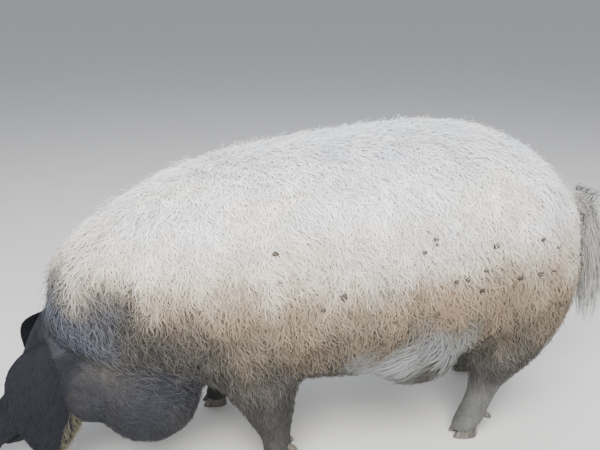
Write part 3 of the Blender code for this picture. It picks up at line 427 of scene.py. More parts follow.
def mesh_object(name, points, faces):
    """A mesh object in the scene, its faces turned outwards."""
    mesh = bpy.data.meshes.new(name)
    mesh.from_pydata([tuple(p) for p in points], [], faces)
    form = bmesh.new()
    form.from_mesh(mesh)
    bmesh.ops.recalc_face_normals(form, faces=form.faces)
    form.to_mesh(mesh)
    form.free()
    return placed(name, mesh)


def discard(thing):
    bpy.data.objects.remove(thing)


def settled(thing):
    """The object with its modifiers worked into its mesh."""
    bpy.context.view_layer.update()
    graph = bpy.context.evaluated_depsgraph_get()
    mesh = bpy.data.meshes.new_from_object(thing.evaluated_get(graph))
    thing.modifiers.clear()
    thing.data = mesh
    return thing


def cut_by(thing, cutter):
    """The object cut by the other, which goes."""
    boolean = thing.modifiers.new("Boolean", "BOOLEAN")
    boolean.operation = "DIFFERENCE"
    boolean.solver = "MANIFOLD"
    boolean.object = cutter
    settled(thing)
    discard(cutter)


def largest_surface(thing):
    """The object without any scraps beside its largest closed surface."""
    form = bmesh.new()
    form.from_mesh(thing.data)
    left = set(form.verts)
    shells = []
    while left:
        seed = left.pop()
        shell, edge = {seed}, [seed]
        while edge:
            near = {e.other_vert(v) for v in edge for e in v.link_edges} - shell
            shell |= near
            edge = list(near)
        left -= shell
        shells.append(shell)
    shells.sort(key=len)
    for shell in shells[:-1]:
        bmesh.ops.delete(form, geom=list(shell), context="VERTS")
    form.to_mesh(thing.data)
    form.free()
    return thing


def between(before, start, end, after, share):
    """A smooth curve's value a share of the way from start to end (Catmull-Rom)."""
    square, cube = share * share, share * share * share
    return 0.5 * (
        2 * start
        + (end - before) * share
        + (2 * before - 5 * start + 4 * end - after) * square
        + (3 * start - before - 3 * end + after) * cube
    )


def smoothed(rows, steps):
    """More rows on smooth curves through the given ones."""
    made = []
    for i in range(len(rows) - 1):
        four = rows[max(i - 1, 0)], rows[i], rows[i + 1], rows[min(i + 2, len(rows) - 1)]
        for step in range(steps):
            made.append([between(*values, step / steps) for values in zip(*four)])
    made.append(list(rows[-1]))
    return made


def skinned(name, rings):
    """A closed body through rings of points, every ring with the same number."""
    sides = len(rings[0])
    faces = [tuple(range(sides))]
    for ring in range(len(rings) - 1):
        low, high = ring * sides, (ring + 1) * sides
        for side in range(sides):
            after = (side + 1) % sides
            faces.append((low + side, low + after, high + after, high + side))
    last = (len(rings) - 1) * sides
    faces.append(tuple(range(last, last + sides)))
    return mesh_object(name, [point for ring in rings for point in ring], faces)


def ring_of(centre, across, up, half_width, half_height, sides, over=2.0, under=2.0):
    """Points round an ellipse, or round a form that is squarer over or under its middle."""
    points = []
    for side in range(sides):
        angle = 2 * math.pi * side / sides
        flat, tall = math.cos(angle), math.sin(angle)
        squareness = over if tall > 0 else under
        out = math.copysign(abs(flat) ** (2 / squareness), flat) * half_width
        rise = math.copysign(abs(tall) ** (2 / squareness), tall) * half_height
        points.append(centre + across * out + up * rise)
    return points


def loft(name, sections, across, up, over=2.0, under=2.0):
    """A closed body through sections of (x, y, z of the centre, half width, half height)."""
    rings = [
        ring_of(Vector(row[:3]), across, up, row[3], row[4], 28, over, under)
        for row in smoothed(sections, 4)
    ]
    return skinned(name, rings)


def ball(name, centre, reach, segments=32, rings=20):
    """An ellipsoid."""
    form = bmesh.new()
    bmesh.ops.create_uvsphere(form, u_segments=segments, v_segments=rings, radius=1.0)
    mesh = bpy.data.meshes.new(name)
    form.to_mesh(mesh)
    form.free()
    mesh.transform(Matrix.Translation(centre) @ Matrix.Diagonal((*reach, 1.0)))
    return placed(name, mesh)


def tube(name, line, radii, sides, up=UP, flatness=1.0):
    """A round or flattened bar along a line of points, closed at its ends."""
    rings = []
    for i, point in enumerate(line):
        way = (line[min(i + 1, len(line) - 1)] - line[max(i - 1, 0)]).normalized()
        across = way.cross(up).normalized()
        over = across.cross(way)
        rings.append(ring_of(point, across, over, radii[i], radii[i] * flatness, sides))
    return skinned(name, rings)


def fused(name, things, voxel, passes):
    """The things melted into one closed surface, with their joints smoothed over."""
    points, faces = [], []
    for thing in things:
        start = len(points)
        points.extend(v.co.copy() for v in thing.data.vertices)
        faces.extend(tuple(start + i for i in f.vertices) for f in thing.data.polygons)
        discard(thing)
    body = mesh_object(name, points, faces)
    remesh = body.modifiers.new("Fuse", "REMESH")
    remesh.mode = "VOXEL"
    remesh.voxel_size = voxel
    smooth = body.modifiers.new("Smooth", "SMOOTH")
    smooth.factor = 0.5
    smooth.iterations = passes
    return settled(body)


def mirrored(point, side):
    """The point given for the left side, on the side asked for."""
    return Vector((point[0], point[1] * -side, point[2]))


def trunk():
    rows = [
        (x, 0.0, (top + bottom) / 2, half_width, (top - bottom) / 2)
        for x, top, bottom, half_width in TRUNK_SECTIONS
    ]
    return loft("trunk", rows, ACROSS, UP, BACK_SQUARENESS, BELLY_SQUARENESS)


def head_point(along, depth, side=0.0):
    """A point in the head: along it from the poll, below its straight profile, to one side."""
    return POLL + HEAD_ALONG * along - HEAD_UP * depth + ACROSS * side


def head_loft(name, sections):
    rows = [
        (*head_point(along, top + depth / 2), half_width, depth / 2)
        for along, top, depth, half_width in sections
    ]
    return loft(name, rows, ACROSS, HEAD_UP)


def leg(form, along, side, out, lean):
    rows = [
        (along + ahead + lean * height, side * (out + outwards), height, half_width, half_length)
        for height, ahead, outwards, half_length, half_width in form
    ]
    return loft("leg", rows, ACROSS, Vector((1, 0, 0)))


def whole_body():
    """The body to the tips of its coat, without ears, claws and tail."""
    masses = [trunk(), ball("throat", *THROAT)]
    for side in (LEFT, RIGHT):
        masses += [ball("mass", mirrored(centre, side), reach) for centre, reach in PAIRED_MASSES]
    masses += [leg(*stance) for _, *stance in FEET]
    body = fused("body", masses, BODY_VOXEL, BODY_SMOOTHING)
    skull, jaw = head_loft("skull", SKULL_SECTIONS), head_loft("jaw", JAW_SECTIONS)
    head = fused("head", [skull, jaw], HEAD_VOXEL, HEAD_SMOOTHING)
    return fused("whole", [body, head], HEAD_VOXEL, HEAD_SMOOTHING)


def surface_of(thing):
    form = bmesh.new()
    form.from_mesh(thing.data)
    tree = BVHTree.FromBMesh(form)
    form.free()
    return tree


def on_face(surface, aim, way):
    """Where a ray that comes from outside towards a point in the head meets its surface."""
    hit, normal, _, _ = surface.ray_cast(aim + way * 0.4, -way)
    return hit, normal


def eye_centre(surface, side):
    """The eye's centre, its front standing a little out of the face before the lids are laid on."""
    look = mirrored(EYE_LOOK, side)
    hit, _ = on_face(surface, head_point(EYE_ALONG, EYE_DEPTH), ACROSS * side)
    return hit - look * EYE_SUNK


def turned_to(way, up):
    """The rotation whose X points that way, with Z as near up as may be."""
    across = up.cross(way).normalized()
    return Matrix((way, across, way.cross(across))).transposed().to_4x4()


def lid_ball(centre, side):
    """The mound of the lids over the eye."""
    thing = ball("lids", Vector(), (1.0, 1.0, 1.0), 18, 12)
    reach = EYE_RADIUS + LID_THICKNESS
    shape = Matrix.Diagonal((reach, reach * 1.3, reach * 1.05, 1.0))
    turn = turned_to(mirrored(EYE_LOOK, side), UP)
    thing.data.transform(Matrix.Translation(centre) @ turn @ shape)
    return thing


def lid_opening(centre, side):
    """An almond-shaped cutter out through the lids, from the eye's centre."""
    half_length, half_height = LID_OPENING
    look = mirrored(EYE_LOOK, side)
    turn = turned_to(look, UP).to_3x3()
    outline = []
    for step in range(12):
        angle = 2 * math.pi * step / 12
        rise = math.sin(angle) * half_height * abs(math.sin(angle)) ** 0.3
        outline.append(turn @ Vector((0.0, math.cos(angle) * half_length, rise)))
    near = [centre + look * EYE_RADIUS * 0.2 + point for point in outline]
    far = [centre + look * EYE_RADIUS * 3 + point * 1.25 for point in outline]
    return skinned("opening", [near, far])


def snout_disc():
    """The flat disc of the snout, with a soft rim."""
    middle = head_point(HEAD_LENGTH, SNOUT_MIDDLE_DEPTH)
    wide, tall = SNOUT_HALF_WIDTH, SNOUT_HALF_HEIGHT
    rings = [
        ring_of(middle + HEAD_ALONG * ahead, ACROSS, HEAD_UP, wide * size, tall * size, 24)
        for ahead, size in SNOUT_RIM
    ]
    return skinned("disc", rings)


def nostril(side):
    reach = (NOSTRIL_REACH, NOSTRIL_HALF_WIDTH, NOSTRIL_HALF_HEIGHT)
    thing = ball("nostril", Vector(), reach, 12, 8)
    turn = turned_to(HEAD_ALONG, HEAD_UP)
    place = head_point(HEAD_LENGTH, SNOUT_MIDDLE_DEPTH - 0.002, side * NOSTRIL_SPACING / 2)
    thing.data.transform(Matrix.Translation(place) @ turn)
    return thing


def mouth_path(surface):
    """The line of the mouth on the face, from the left corner round the chin to the right one."""
    left, right = (
        [on_face(surface, head_point(*place), ACROSS * side)[0] for place in smoothed(MOUTH_LINE, 2)]
        for side in (LEFT, RIGHT)
    )
    return left + [head_point(*MOUTH_FRONT)] + right[::-1]


def bar_along(name, path, half_depth, half_height, sides):
    """A bar along a path round the jaws, its depth pointing out of the face."""
    rings = []
    for i, point in enumerate(path):
        way = (path[min(i + 1, len(path) - 1)] - path[max(i - 1, 0)]).normalized()
        out = way.cross(HEAD_UP).normalized()
        end = 0.35 if i in (0, len(path) - 1) else 1.0
        rings.append(ring_of(point, out, out.cross(way), half_depth * end, half_height * end, sides))
    return skinned(name, rings)


def curve_point(line, share):
    """A point on the smooth bend through three points."""
    start, middle, end = line
    return start.lerp(middle, share).lerp(middle.lerp(end, share), share)


def ear_point(share, half_width, place):
    """A point on the ear's middle surface, with the way the ear runs there and the way it faces."""
    ahead = curve_point(EAR_LINE, min(share + 0.02, 1.0))
    behind_it = curve_point(EAR_LINE, max(share - 0.02, 0.0))
    way = (ahead - behind_it).normalized()
    face = way.cross(EAR_ACROSS).normalized()
    face = face if face.y > 0 else -face
    cup = EAR_CUP * (1.4 - share) * half_width / max(EAR_HALF_WIDTHS)
    middle = curve_point(EAR_LINE, share)
    return middle + EAR_ACROSS * half_width * place + face * cup * place * place, way, face


def ear(name, side):
    """A cupped leaf that hangs from beside the poll, its hollow towards the face."""
    rows = smoothed([(width,) for width in EAR_HALF_WIDTHS], 2)
    shares = [-1.0, -0.8, -0.45, 0.0, 0.45, 0.8, 1.0]
    outer, inner = [], []
    for i, (half_width,) in enumerate(rows):
        for place in shares:
            point, _, face = ear_point(i / (len(rows) - 1), half_width, place)
            thickness = EAR_THICKNESS * (1.0 - 0.65 * place * place)
            outer.append(mirrored(point - face * thickness / 2, side))
            inner.append(mirrored(point + face * thickness / 2, side))
    count, across = len(rows), len(shares)
    base = len(outer)
    faces = []
    for row in range(count - 1):
        for column in range(across - 1):
            a = row * across + column
            b, c, d = a + 1, a + across + 1, a + across
            faces += [(a, b, c), (a, c, d)]
            faces += [(base + a, base + c, base + b), (base + a, base + d, base + c)]
    rim = list(range(across))
    rim += [row * across + across - 1 for row in range(1, count)]
    rim += [(count - 1) * across + column for column in range(across - 2, -1, -1)]
    rim += [row * across for row in range(count - 2, 0, -1)]
    for a, b in zip(rim, rim[1:] + rim[:1]):
        faces += [(a, base + a, base + b), (a, base + b, b)]
    return mesh_object(name, outer + inner, faces)


def coronet(along):
    """The height at which horn meets skin, by distance behind the foot's middle."""
    return CORONET_HEIGHT + CORONET_SLOPE * along


def claw(name, foot, side):
    """One main claw, flat below, its front wall raked and its top along the coronet."""
    _, _, foot_along, foot_side, foot_out, _ = foot
    turn = math.copysign(CLAW_SPLAY, side)
    middle = Vector((foot_along, foot_side * foot_out + side * CLAW_SPACING / 2, 0.0))
    rings = []
    for share, shrink in CLAW_WALL:
        ring = []
        for step in range(CLAW_SIDES):
            angle = 2 * math.pi * step / CLAW_SIDES
            toe = 0.5 - 0.5 * math.cos(angle)  # 0 at the heel, 1 at the toe
            along = CLAW_TOE + CLAW_LENGTH * (1.0 - toe)
            width = CLAW_WIDTH / 2 * math.sin(angle) * (1.0 - CLAW_TOE_NARROWING * toe) * shrink
            if width * side < 0:
                width *= CLAW_INNER_WALL
            along = CLAW_TOE + CLAW_LENGTH / 2 + (along - CLAW_TOE - CLAW_LENGTH / 2) * shrink
            along += CLAW_RAKE * share * toe + CLAW_SET_BACK * share
            x = along * math.cos(turn) - width * math.sin(turn)
            y = along * math.sin(turn) + width * math.cos(turn)
            height = share * (coronet(x) - MEETING_GAP)
            ring.append(middle + Vector((x, y, height)))
        rings.append(ring)
    return skinned(name, rings)


def dewclaw(name, foot, side):
    """One of the two small claws behind the pastern, pointing down and back."""
    _, _, foot_along, foot_side, foot_out, lean = foot
    root = Vector(
        (
            foot_along + lean * DEWCLAW_HEIGHT + DEWCLAW_BEHIND,
            foot_side * foot_out + side * DEWCLAW_SPACING / 2,
            DEWCLAW_HEIGHT + DEWCLAW_RAISED,
        )
    )
    back, down = DEWCLAW_DOWN
    way = Vector((back, side * DEWCLAW_OUT, down)).normalized()
    line = [root + way * DEWCLAW_LENGTH * share for share, _ in DEWCLAW_TAPER]
    radii = [DEWCLAW_RADIUS * size for _, size in DEWCLAW_TAPER]
    return tube(name, line, radii, 8)


def vertex_arrays(thing):
    """Every vertex and its normal, as arrays."""
    count = len(thing.data.vertices)
    points, normals = np.empty(count * 3), np.empty(count * 3)
    thing.data.vertices.foreach_get("co", points)
    thing.data.vertices.foreach_get("normal", normals)
    return points.reshape(-1, 3), normals.reshape(-1, 3)


def move_vertices(thing, points):
    thing.data.vertices.foreach_set("co", points.reshape(-1))
    thing.data.update()


def eased(values, none, full):
    """0 up to the first limit, 1 from the second on, smooth between."""
    share = np.clip((values - none) / (full - none), 0.0, 1.0)
    return share * share * (3 - 2 * share)


def beyond_head_cut(points):
    return (points - np.array(HEAD_CUT[0])) @ np.array(HEAD_CUT[1].normalized())


def coat_share(points):
    """How full the coat is, from 0 on face and feet to 1 on the back."""
    long_coat = BELLY_COAT + (LONG_COAT - BELLY_COAT) * eased(points[:, 2], *BELLY_FADE)
    off_leg = eased(points[:, 2], *LEG_COAT_FADE)
    off_face = eased(beyond_head_cut(points), *FACE_COAT_FADE)
    off_face = np.where(points[:, 0] < HEAD_CUT[0].x, off_face, 1.0)
    return long_coat / LONG_COAT * np.minimum(off_leg, off_face)


def coat_depths(points):
    return SHORT_COAT + (LONG_COAT - SHORT_COAT) * coat_share(points)


def waves(points, size, seed):
    """A smooth random value between about -1 and 1 at each point, in patches of about this size."""
    draw = np.random.default_rng(seed)
    total = np.zeros(len(points))
    for _ in range(5):
        way = draw.normal(size=3)
        way /= np.linalg.norm(way)
        bend = draw.normal(size=3) * 0.7
        phase = draw.uniform(0, 2 * math.pi, 2)
        turn = points @ way * (2 * math.pi / size) * draw.uniform(0.6, 1.3)
        total += np.sin(turn + phase[0] + 1.3 * np.sin(points @ bend * (2 * math.pi / size) + phase[1]))
    return total / 2.6


def blob(points, centre, reach):
    """1 round the centre, fading to 0 by its reach, alike on both sides."""
    centre = np.array(centre)
    aside = np.where(centre[1] == 0, np.abs(points[:, 1]), np.abs(points[:, 1]) + centre[1])
    gap = np.stack([points[:, 0] - centre[0], aside, points[:, 2] - centre[2]], axis=1)
    return 1 - eased(np.linalg.norm(gap / np.array(reach), axis=1), 0.25, 1.0)


def marked(points):
    """The coat's colour at each point."""
    drift = DRIFT * np.stack([waves(points, DRIFT_SIZE, seed) for seed in (1, 2, 3)], axis=1)
    shifted = points + drift + RAGGED * waves(points, RAGGED_SIZE, 4)[:, None]
    # Painted shade in part: the colour by height darkens towards the ground and turns cooler and duller
    # over the top of the back
    heights, tints = zip(*COAT_BY_HEIGHT)
    tall = shifted[:, 2] + RUMP_RISE * eased(points[:, 0], *RUMP_FROM)
    colour = np.stack(
        [np.interp(tall, heights, [tint[part] for tint in tints]) for part in range(3)], axis=1
    )
    low, full, still_full, high = BLUSH_HEIGHTS
    blush = eased(shifted[:, 2], low, full) * (1 - eased(shifted[:, 2], still_full, high))
    blush = blush * (points[:, 0] > BLUSH_BEHIND)
    blush = (blush * eased(waves(points, BLUSH_SIZE, 5), 0.0, 1.0) * BLUSH_SHARE)[:, None]
    colour = colour * (1 - blush) + np.array(BLUSH) * blush
    low_down = 1 - eased(shifted[:, 2], *MOTTLE_FADE)
    colour = colour * (1 + MOTTLE * low_down * waves(points, MOTTLE_SIZE, 6))[:, None]
    upright = waves(points * np.array(STREAK_SQUEEZE), STREAK_SIZE, 7)
    colour = colour * (1 + STREAK * (upright + waves(points, SHADE_SIZE, 8)))[:, None]
    colour = colour * (1 + waves(points, WARMTH_SIZE, 9)[:, None] * np.array(WARMTH))
    for centre, reach, tint, strength in MARKINGS:
        share = (blob(shifted, centre, reach) * strength)[:, None]
        colour = colour * (1 - share) + np.array(tint) * share
    # The face and ears turn slate: dark skin and hair with painted shade over the lowered head, less on
    # the jowl
    slate = eased(beyond_head_cut(shifted), *FACE_EDGE) * (points[:, 0] < HEAD_CUT[0].x)
    jowl = blob(shifted, *JOWL_PLACE)
    slate = (slate * (1 - 0.85 * jowl))[:, None]
    return colour * (1 - slate) + np.array(SLATE) * slate


def darkness(colours):
    """1 for dark hair, 0 for pale."""
    return np.clip(1 - 4 * colours.mean(axis=1), 0, 1)


def folds_into(points, normals):
    """The hide's creases: each point moved along its normal."""
    moved = np.zeros(len(points))
    for line, half_width, depth in FOLDS:
        rows = smoothed(line, 6)
        for side in (LEFT, RIGHT):
            path = np.array([mirrored(row, side) for row in rows])
            centre, reach = path.mean(axis=0), np.ptp(path, axis=0).max() / 2 + half_width * 4
            near = np.nonzero((np.abs(points - centre) < reach + half_width * 3).all(axis=1))[0]
            if not len(near):
                continue
            gaps = np.linalg.norm(points[near][:, None, :] - path[None], axis=2)
            ends = np.sin(np.linspace(0.12, math.pi - 0.12, len(path)))
            nearest = gaps.argmin(axis=1)
            across = gaps.min(axis=1) / half_width
            groove = -np.exp(-((across * 1.6) ** 2)) + 0.45 * np.exp(-(((across - 1.5) * 1.5) ** 2))
            moved[near] += groove * depth * ends[nearest]
    return points + normals * moved[:, None]


def hide_form():
    """The hide, inside the solids by the coat's depth, with the forms of the face."""
    hide = whole_body()
    points, normals = vertex_arrays(hide)
    move_vertices(hide, points - normals * (coat_depths(points) * HIDE_SHARE)[:, None])
    surface = surface_of(hide)
    centres = {side: eye_centre(surface, side) for side in (LEFT, RIGHT)}
    path = mouth_path(surface)
    lids = [lid_ball(centres[side], side) for side in (LEFT, RIGHT)]
    lips = bar_along("lips", path, LIP_RADIUS * 0.55, LIP_RADIUS, 12)
    hide = fused("hide", [hide, snout_disc(), lips, *lids], HIDE_VOXEL, 3)
    points, normals = vertex_arrays(hide)
    move_vertices(hide, folds_into(points, normals))
    hide = thinned_behind_head(hide)
    cut_by(hide, bar_along("mouth", path, MOUTH_DEPTH, MOUTH_GAPE / 2, 8))
    for side in (LEFT, RIGHT):
        cut_by(hide, nostril(side))
        cut_by(hide, lid_opening(centres[side], side))
        cut_by(hide, ball("socket", centres[side], [EYE_RADIUS * 1.02] * 3))
    return largest_surface(hide), centres, path


def thinned_behind_head(hide):
    """The hide with fewer triangles away from the face."""
    points, _ = vertex_arrays(hide)
    face = hide.vertex_groups.new(name="face")
    ahead = np.nonzero((beyond_head_cut(points) > FACE_FROM) & (points[:, 0] < 0.0))[0]
    face.add([int(i) for i in ahead], 1.0, "REPLACE")
    thin = hide.modifiers.new("Thin", "DECIMATE")
    thin.ratio = HIDE_TRIANGLES / (2 * len(hide.data.polygons))
    thin.vertex_group = "face"
    thin.invert_vertex_group = True
    return settled(hide)


def samples_on(thing, count, draw):
    """Random places on the surface, with their normals."""
    mesh = thing.data
    mesh.calc_loop_triangles()
    corners = np.empty(len(mesh.loop_triangles) * 3, np.int32)
    mesh.loop_triangles.foreach_get("vertices", corners)
    points, normals = vertex_arrays(thing)
    a, b, c = (points[corners.reshape(-1, 3)[:, i]] for i in range(3))
    cross = np.cross(b - a, c - a)
    area = np.linalg.norm(cross, axis=1)
    picked = draw.choice(len(area), count, p=area / area.sum())
    u, v = draw.random(count), draw.random(count)
    u, v = np.where(u + v > 1, 1 - u, u), np.where(u + v > 1, 1 - v, v)
    places = a[picked] + (b - a)[picked] * u[:, None] + (c - a)[picked] * v[:, None]
    tilts = normals[corners.reshape(-1, 3)[picked]].mean(axis=1)
    return places, tilts / np.linalg.norm(tilts, axis=1)[:, None]


def one_a_cell(points, size):
    """Which points to keep so that each cell of this size holds one."""
    keys = np.floor(points / size).astype(np.int64)
    _, first = np.unique(keys, axis=0, return_index=True)
    return np.sort(first)


def unit(vectors):
    """The vectors, each at a length of 1."""
    return vectors / (np.linalg.norm(vectors, axis=-1)[..., None] + 1e-12)


def square_to(vectors, axes):
    """Each vector's part that is square to its own axis, at a length of 1."""
    return unit(vectors - axes * (vectors * axes).sum(axis=1)[:, None])


def lie_of(points, normals):
    """The way the coat lies at each point, along the surface."""
    ways = np.tile(np.array(COAT_LIE), (len(points), 1))
    ahead = eased(beyond_head_cut(points), *FACE_LIE_FADE) * (points[:, 0] < HEAD_CUT[0].x)
    ways = ways * (1 - ahead[:, None]) + np.array(FACE_LIE) * ahead[:, None]
    for centre, reach, way in LIES:
        share = blob(points, centre, reach)[:, None]
        ways = ways * (1 - share) + np.array(way) * share
    on_leg = (1 - eased(points[:, 2], *LEG_LIE_FADE))[:, None]
    ways = ways * (1 - on_leg) + np.array(LEG_LIE) * on_leg
    turn = LIE_WANDER * (waves(points, 0.15, 21) + 0.7 * waves(points, 0.05, 22))
    return turned_about(square_to(ways, normals), normals, turn)


def unwrapped(points):
    """Each point's place on an unwrap of the hide's own shape: trunk, head and four legs side by side."""
    x, y, z = points.T
    along, out = points @ np.array(HEAD_ALONG), points @ np.array(HEAD_UP)
    u = np.clip((x + 0.30) / 1.40, 0, 1)
    v = 0.5 + 0.5 * ((np.arctan2(y, z - 0.46) / (2 * math.pi)) % 1.0)
    on_head = (beyond_head_cut(points) > 0) & (x < HEAD_CUT[0].x)
    head_along = np.clip((along - np.array(POLL) @ np.array(HEAD_ALONG) + 0.12) / 0.55, 0, 1)
    head_out = out - np.array(POLL) @ np.array(HEAD_UP) + 0.09
    u = np.where(on_head, 0.5 * head_along, u)
    v = np.where(on_head, 0.5 * ((np.arctan2(y, head_out) / (2 * math.pi)) % 1.0), v)
    for number, (_, _, foot_along, side, out_by, lean) in enumerate(FEET):
        axis_x, axis_y = foot_along + lean * z, side * out_by
        near = (z < 0.20) & (np.abs(x - axis_x) < 0.09) & (np.abs(y - axis_y) < 0.075)
        strip = 0.5 + 0.125 * number
        turn = (np.arctan2(y - axis_y, x - axis_x) / (2 * math.pi)) % 1.0
        u = np.where(near, strip + 0.12 * turn, u)
        v = np.where(near, np.clip(z / 0.20, 0, 1) * 0.48, v)
    return np.stack([u, v], axis=1)


def turned_about(vectors, axes, angles):
    """Each vector turned about its own axis, which it is square to."""
    across = np.cross(axes, vectors)
    return vectors * np.cos(angles)[:, None] + across * np.sin(angles)[:, None]


def strand_paths(surface, roots, ups, ways, lengths, lifts, curls, turns, pulls, rings, draw):
    """The middle line of each tuft, which follows the hide, waves and leans to its lock's middle."""
    ahead = roots + ways * lengths[:, None]
    feet, far_ups = np.empty_like(roots), np.empty_like(roots)
    for i, aim in enumerate(ahead):
        foot, up, _, _ = surface.find_nearest(Vector(aim))
        feet[i], far_ups[i] = foot, up
    sides = np.cross(ups, ways)
    phase = draw.uniform(-0.9, 0.9, len(roots)) + 3.0 * waves(roots, 0.045, 31)
    path, outward = [], []
    for step in range(rings + 1):
        t = step / rings
        up = ups * (1 - t) + far_ups * t
        bulge = 1 - (1 - t) ** 2.4
        tip_drop = 0.35 * t**3
        line = roots * (1 - t) + feet * t
        line = line + up * (lifts * (bulge - tip_drop) - TUFT_SUNK * (1 - t) ** 3)[:, None]
        sway = curls * min(t * 2.2, 1.0)
        angle = 2 * math.pi * turns * t + phase
        line = line + sides * (sway * np.sin(angle))[:, None]
        line = line + up * (sway * 0.55 * (1 + np.cos(angle)) * min(t * 3, 1.0))[:, None]
        line = line + pulls * t**1.6
        path.append(line)
        outward.append(up)
    return np.stack(path, axis=1), np.stack(outward, axis=1)


def strand_faces(rings):
    """The faces of one tuft: its closed root, its three sides and its tip."""
    faces = [(0, 1, 2)]
    for ring in range(rings - 1):
        for corner in range(3):
            a, b = ring * 3 + corner, ring * 3 + (corner + 1) % 3
            faces += [(a, a + 3, b), (b, a + 3, b + 3)]
    last = (rings - 1) * 3
    faces += [(last + corner, rings * 3, last + (corner + 1) % 3) for corner in range(3)]
    return np.array(faces)


def strand_mesh(name, path, outward, widths, colours, places, material, slot):
    """Closed, tapered tufts of three sides along the given lines, as one finished piece."""
    count, rings = path.shape[0], path.shape[1] - 1
    size = rings * 3 + 1
    ways = unit(np.gradient(path, axis=1))
    sides = unit(np.cross(outward, ways))
    tops = np.cross(ways, sides)
    t = np.arange(rings) / rings
    taper = (1 - t**2 * (1 - TUFT_BLUNTNESS)) * (0.55 + 0.45 * np.minimum(t * 4, 1))
    radius = widths[:, None] / 2 * taper[None]
    points = np.empty((count, size, 3))
    dark = darkness(colours)[:, None, None]
    soft = SOFTNESS - DARK_LESS_SOFT * dark
    facing = np.repeat(outward[:, :1] * soft, size, axis=1)
    for corner, angle in enumerate((math.pi / 2, math.pi * 7 / 6, math.pi * 11 / 6)):
        shift = sides[:, :rings] * math.cos(angle)
        shift = shift + tops[:, :rings] * math.sin(angle) * TUFT_FLATNESS
        points[:, corner : rings * 3 : 3] = path[:, :rings] + shift * radius[..., None]
        facing[:, corner : rings * 3 : 3] += shift * (1 - soft)
    points[:, -1] = path[:, -1]
    faces = strand_faces(rings)
    volume = np.linalg.det(points[:50][:, faces] - points[:50].mean(axis=1)[:, None, None]).sum()
    if volume < 0:
        faces = faces[:, ::-1]
    corners = (faces[None] + (np.arange(count) * size)[:, None, None]).reshape(-1).astype(np.int32)
    mesh = bpy.data.meshes.new(name)
    mesh.vertices.add(count * size)
    mesh.vertices.foreach_set("co", points.reshape(-1))
    mesh.loops.add(len(corners))
    mesh.loops.foreach_set("vertex_index", corners)
    mesh.polygons.add(len(corners) // 3)
    mesh.polygons.foreach_set("loop_start", np.arange(0, len(corners), 3, dtype=np.int32))
    mesh.update(calc_edges=True)
    depth = np.concatenate([np.repeat(t, 3), [1.0]])
    # Painted shade at the root and painted highlight towards the tip of each tuft
    (root, root_dark), (tip, tip_dark) = ROOT_SHADE, TIP_SHADE
    shade = root + root_dark * dark + (tip + tip_dark * dark) * depth[None, :, None]
    rgba = np.concatenate([colours[:, None] * shade, np.ones((count, size, 1))], axis=2)
    mesh.color_attributes.new("Markings", "FLOAT_COLOR", "POINT")
    mesh.color_attributes["Markings"].data.foreach_set("color", rgba.reshape(-1))
    patch = np.stack([depth, np.tile((0.0, 0.5, 1.0), rings + 1)[:size]], axis=1)
    uv = (places[:, None] + (patch[None] - 0.5) * 0.003).reshape(-1, 2)[corners]
    mesh.uv_layers.new(name="OFBake").data.foreach_set("uv", uv.reshape(-1))
    mesh.shade_smooth()
    mesh.normals_split_custom_set_from_vertices(unit(facing).reshape(-1, 3).tolist())
    return finished(placed(name, mesh), material)


def lock_pulls(roots, strength):
    """How far each tuft's tip is drawn towards the middle of its lock."""
    keys = np.floor(roots / LOCK_CELL + 0.17).astype(np.int64)
    _, group = np.unique(keys, axis=0, return_inverse=True)
    group = group.reshape(-1)
    total = np.zeros((group.max() + 1, 3))
    np.add.at(total, group, roots)
    middle = total / np.bincount(group)[:, None]
    return (middle[group] - roots) * strength, group


def split_coat(name, path, outward, widths, colours, places, material):
    """The tufts as several pieces of the fleece, each under the limit of triangles."""
    most = MOST_TRIANGLES // (6 * (path.shape[1] - 2) + 4)
    order = np.argsort(path[:, 0, 0], kind="stable")
    for number, start in enumerate(range(0, len(order), most)):
        part = order[start : start + most]
        rows = [values[part] for values in (path, outward, widths, colours, places)]
        strand_mesh(f"{name}_{number + 1}", *rows, material, "fleece")


def away_from_features(points, centres, path):
    """Which points lie clear of eyes, mouth, nostrils and snout."""
    clear = np.ones(len(points), bool)
    for centre in centres.values():
        clear &= np.linalg.norm(points - np.array(centre), axis=1) > EYE_CLEARING
    face = np.nonzero((beyond_head_cut(points) > FACE_FROM) & (points[:, 0] < 0.0))[0]
    gaps = np.linalg.norm(points[face][:, None] - np.array(path)[None], axis=2).min(axis=1)
    ahead = (points[face] - np.array(POLL)) @ np.array(HEAD_ALONG)
    clear[face] &= (gaps > MOUTH_CLEARING) & (ahead < HEAD_LENGTH - SNOUT_CLEARING)
    return clear


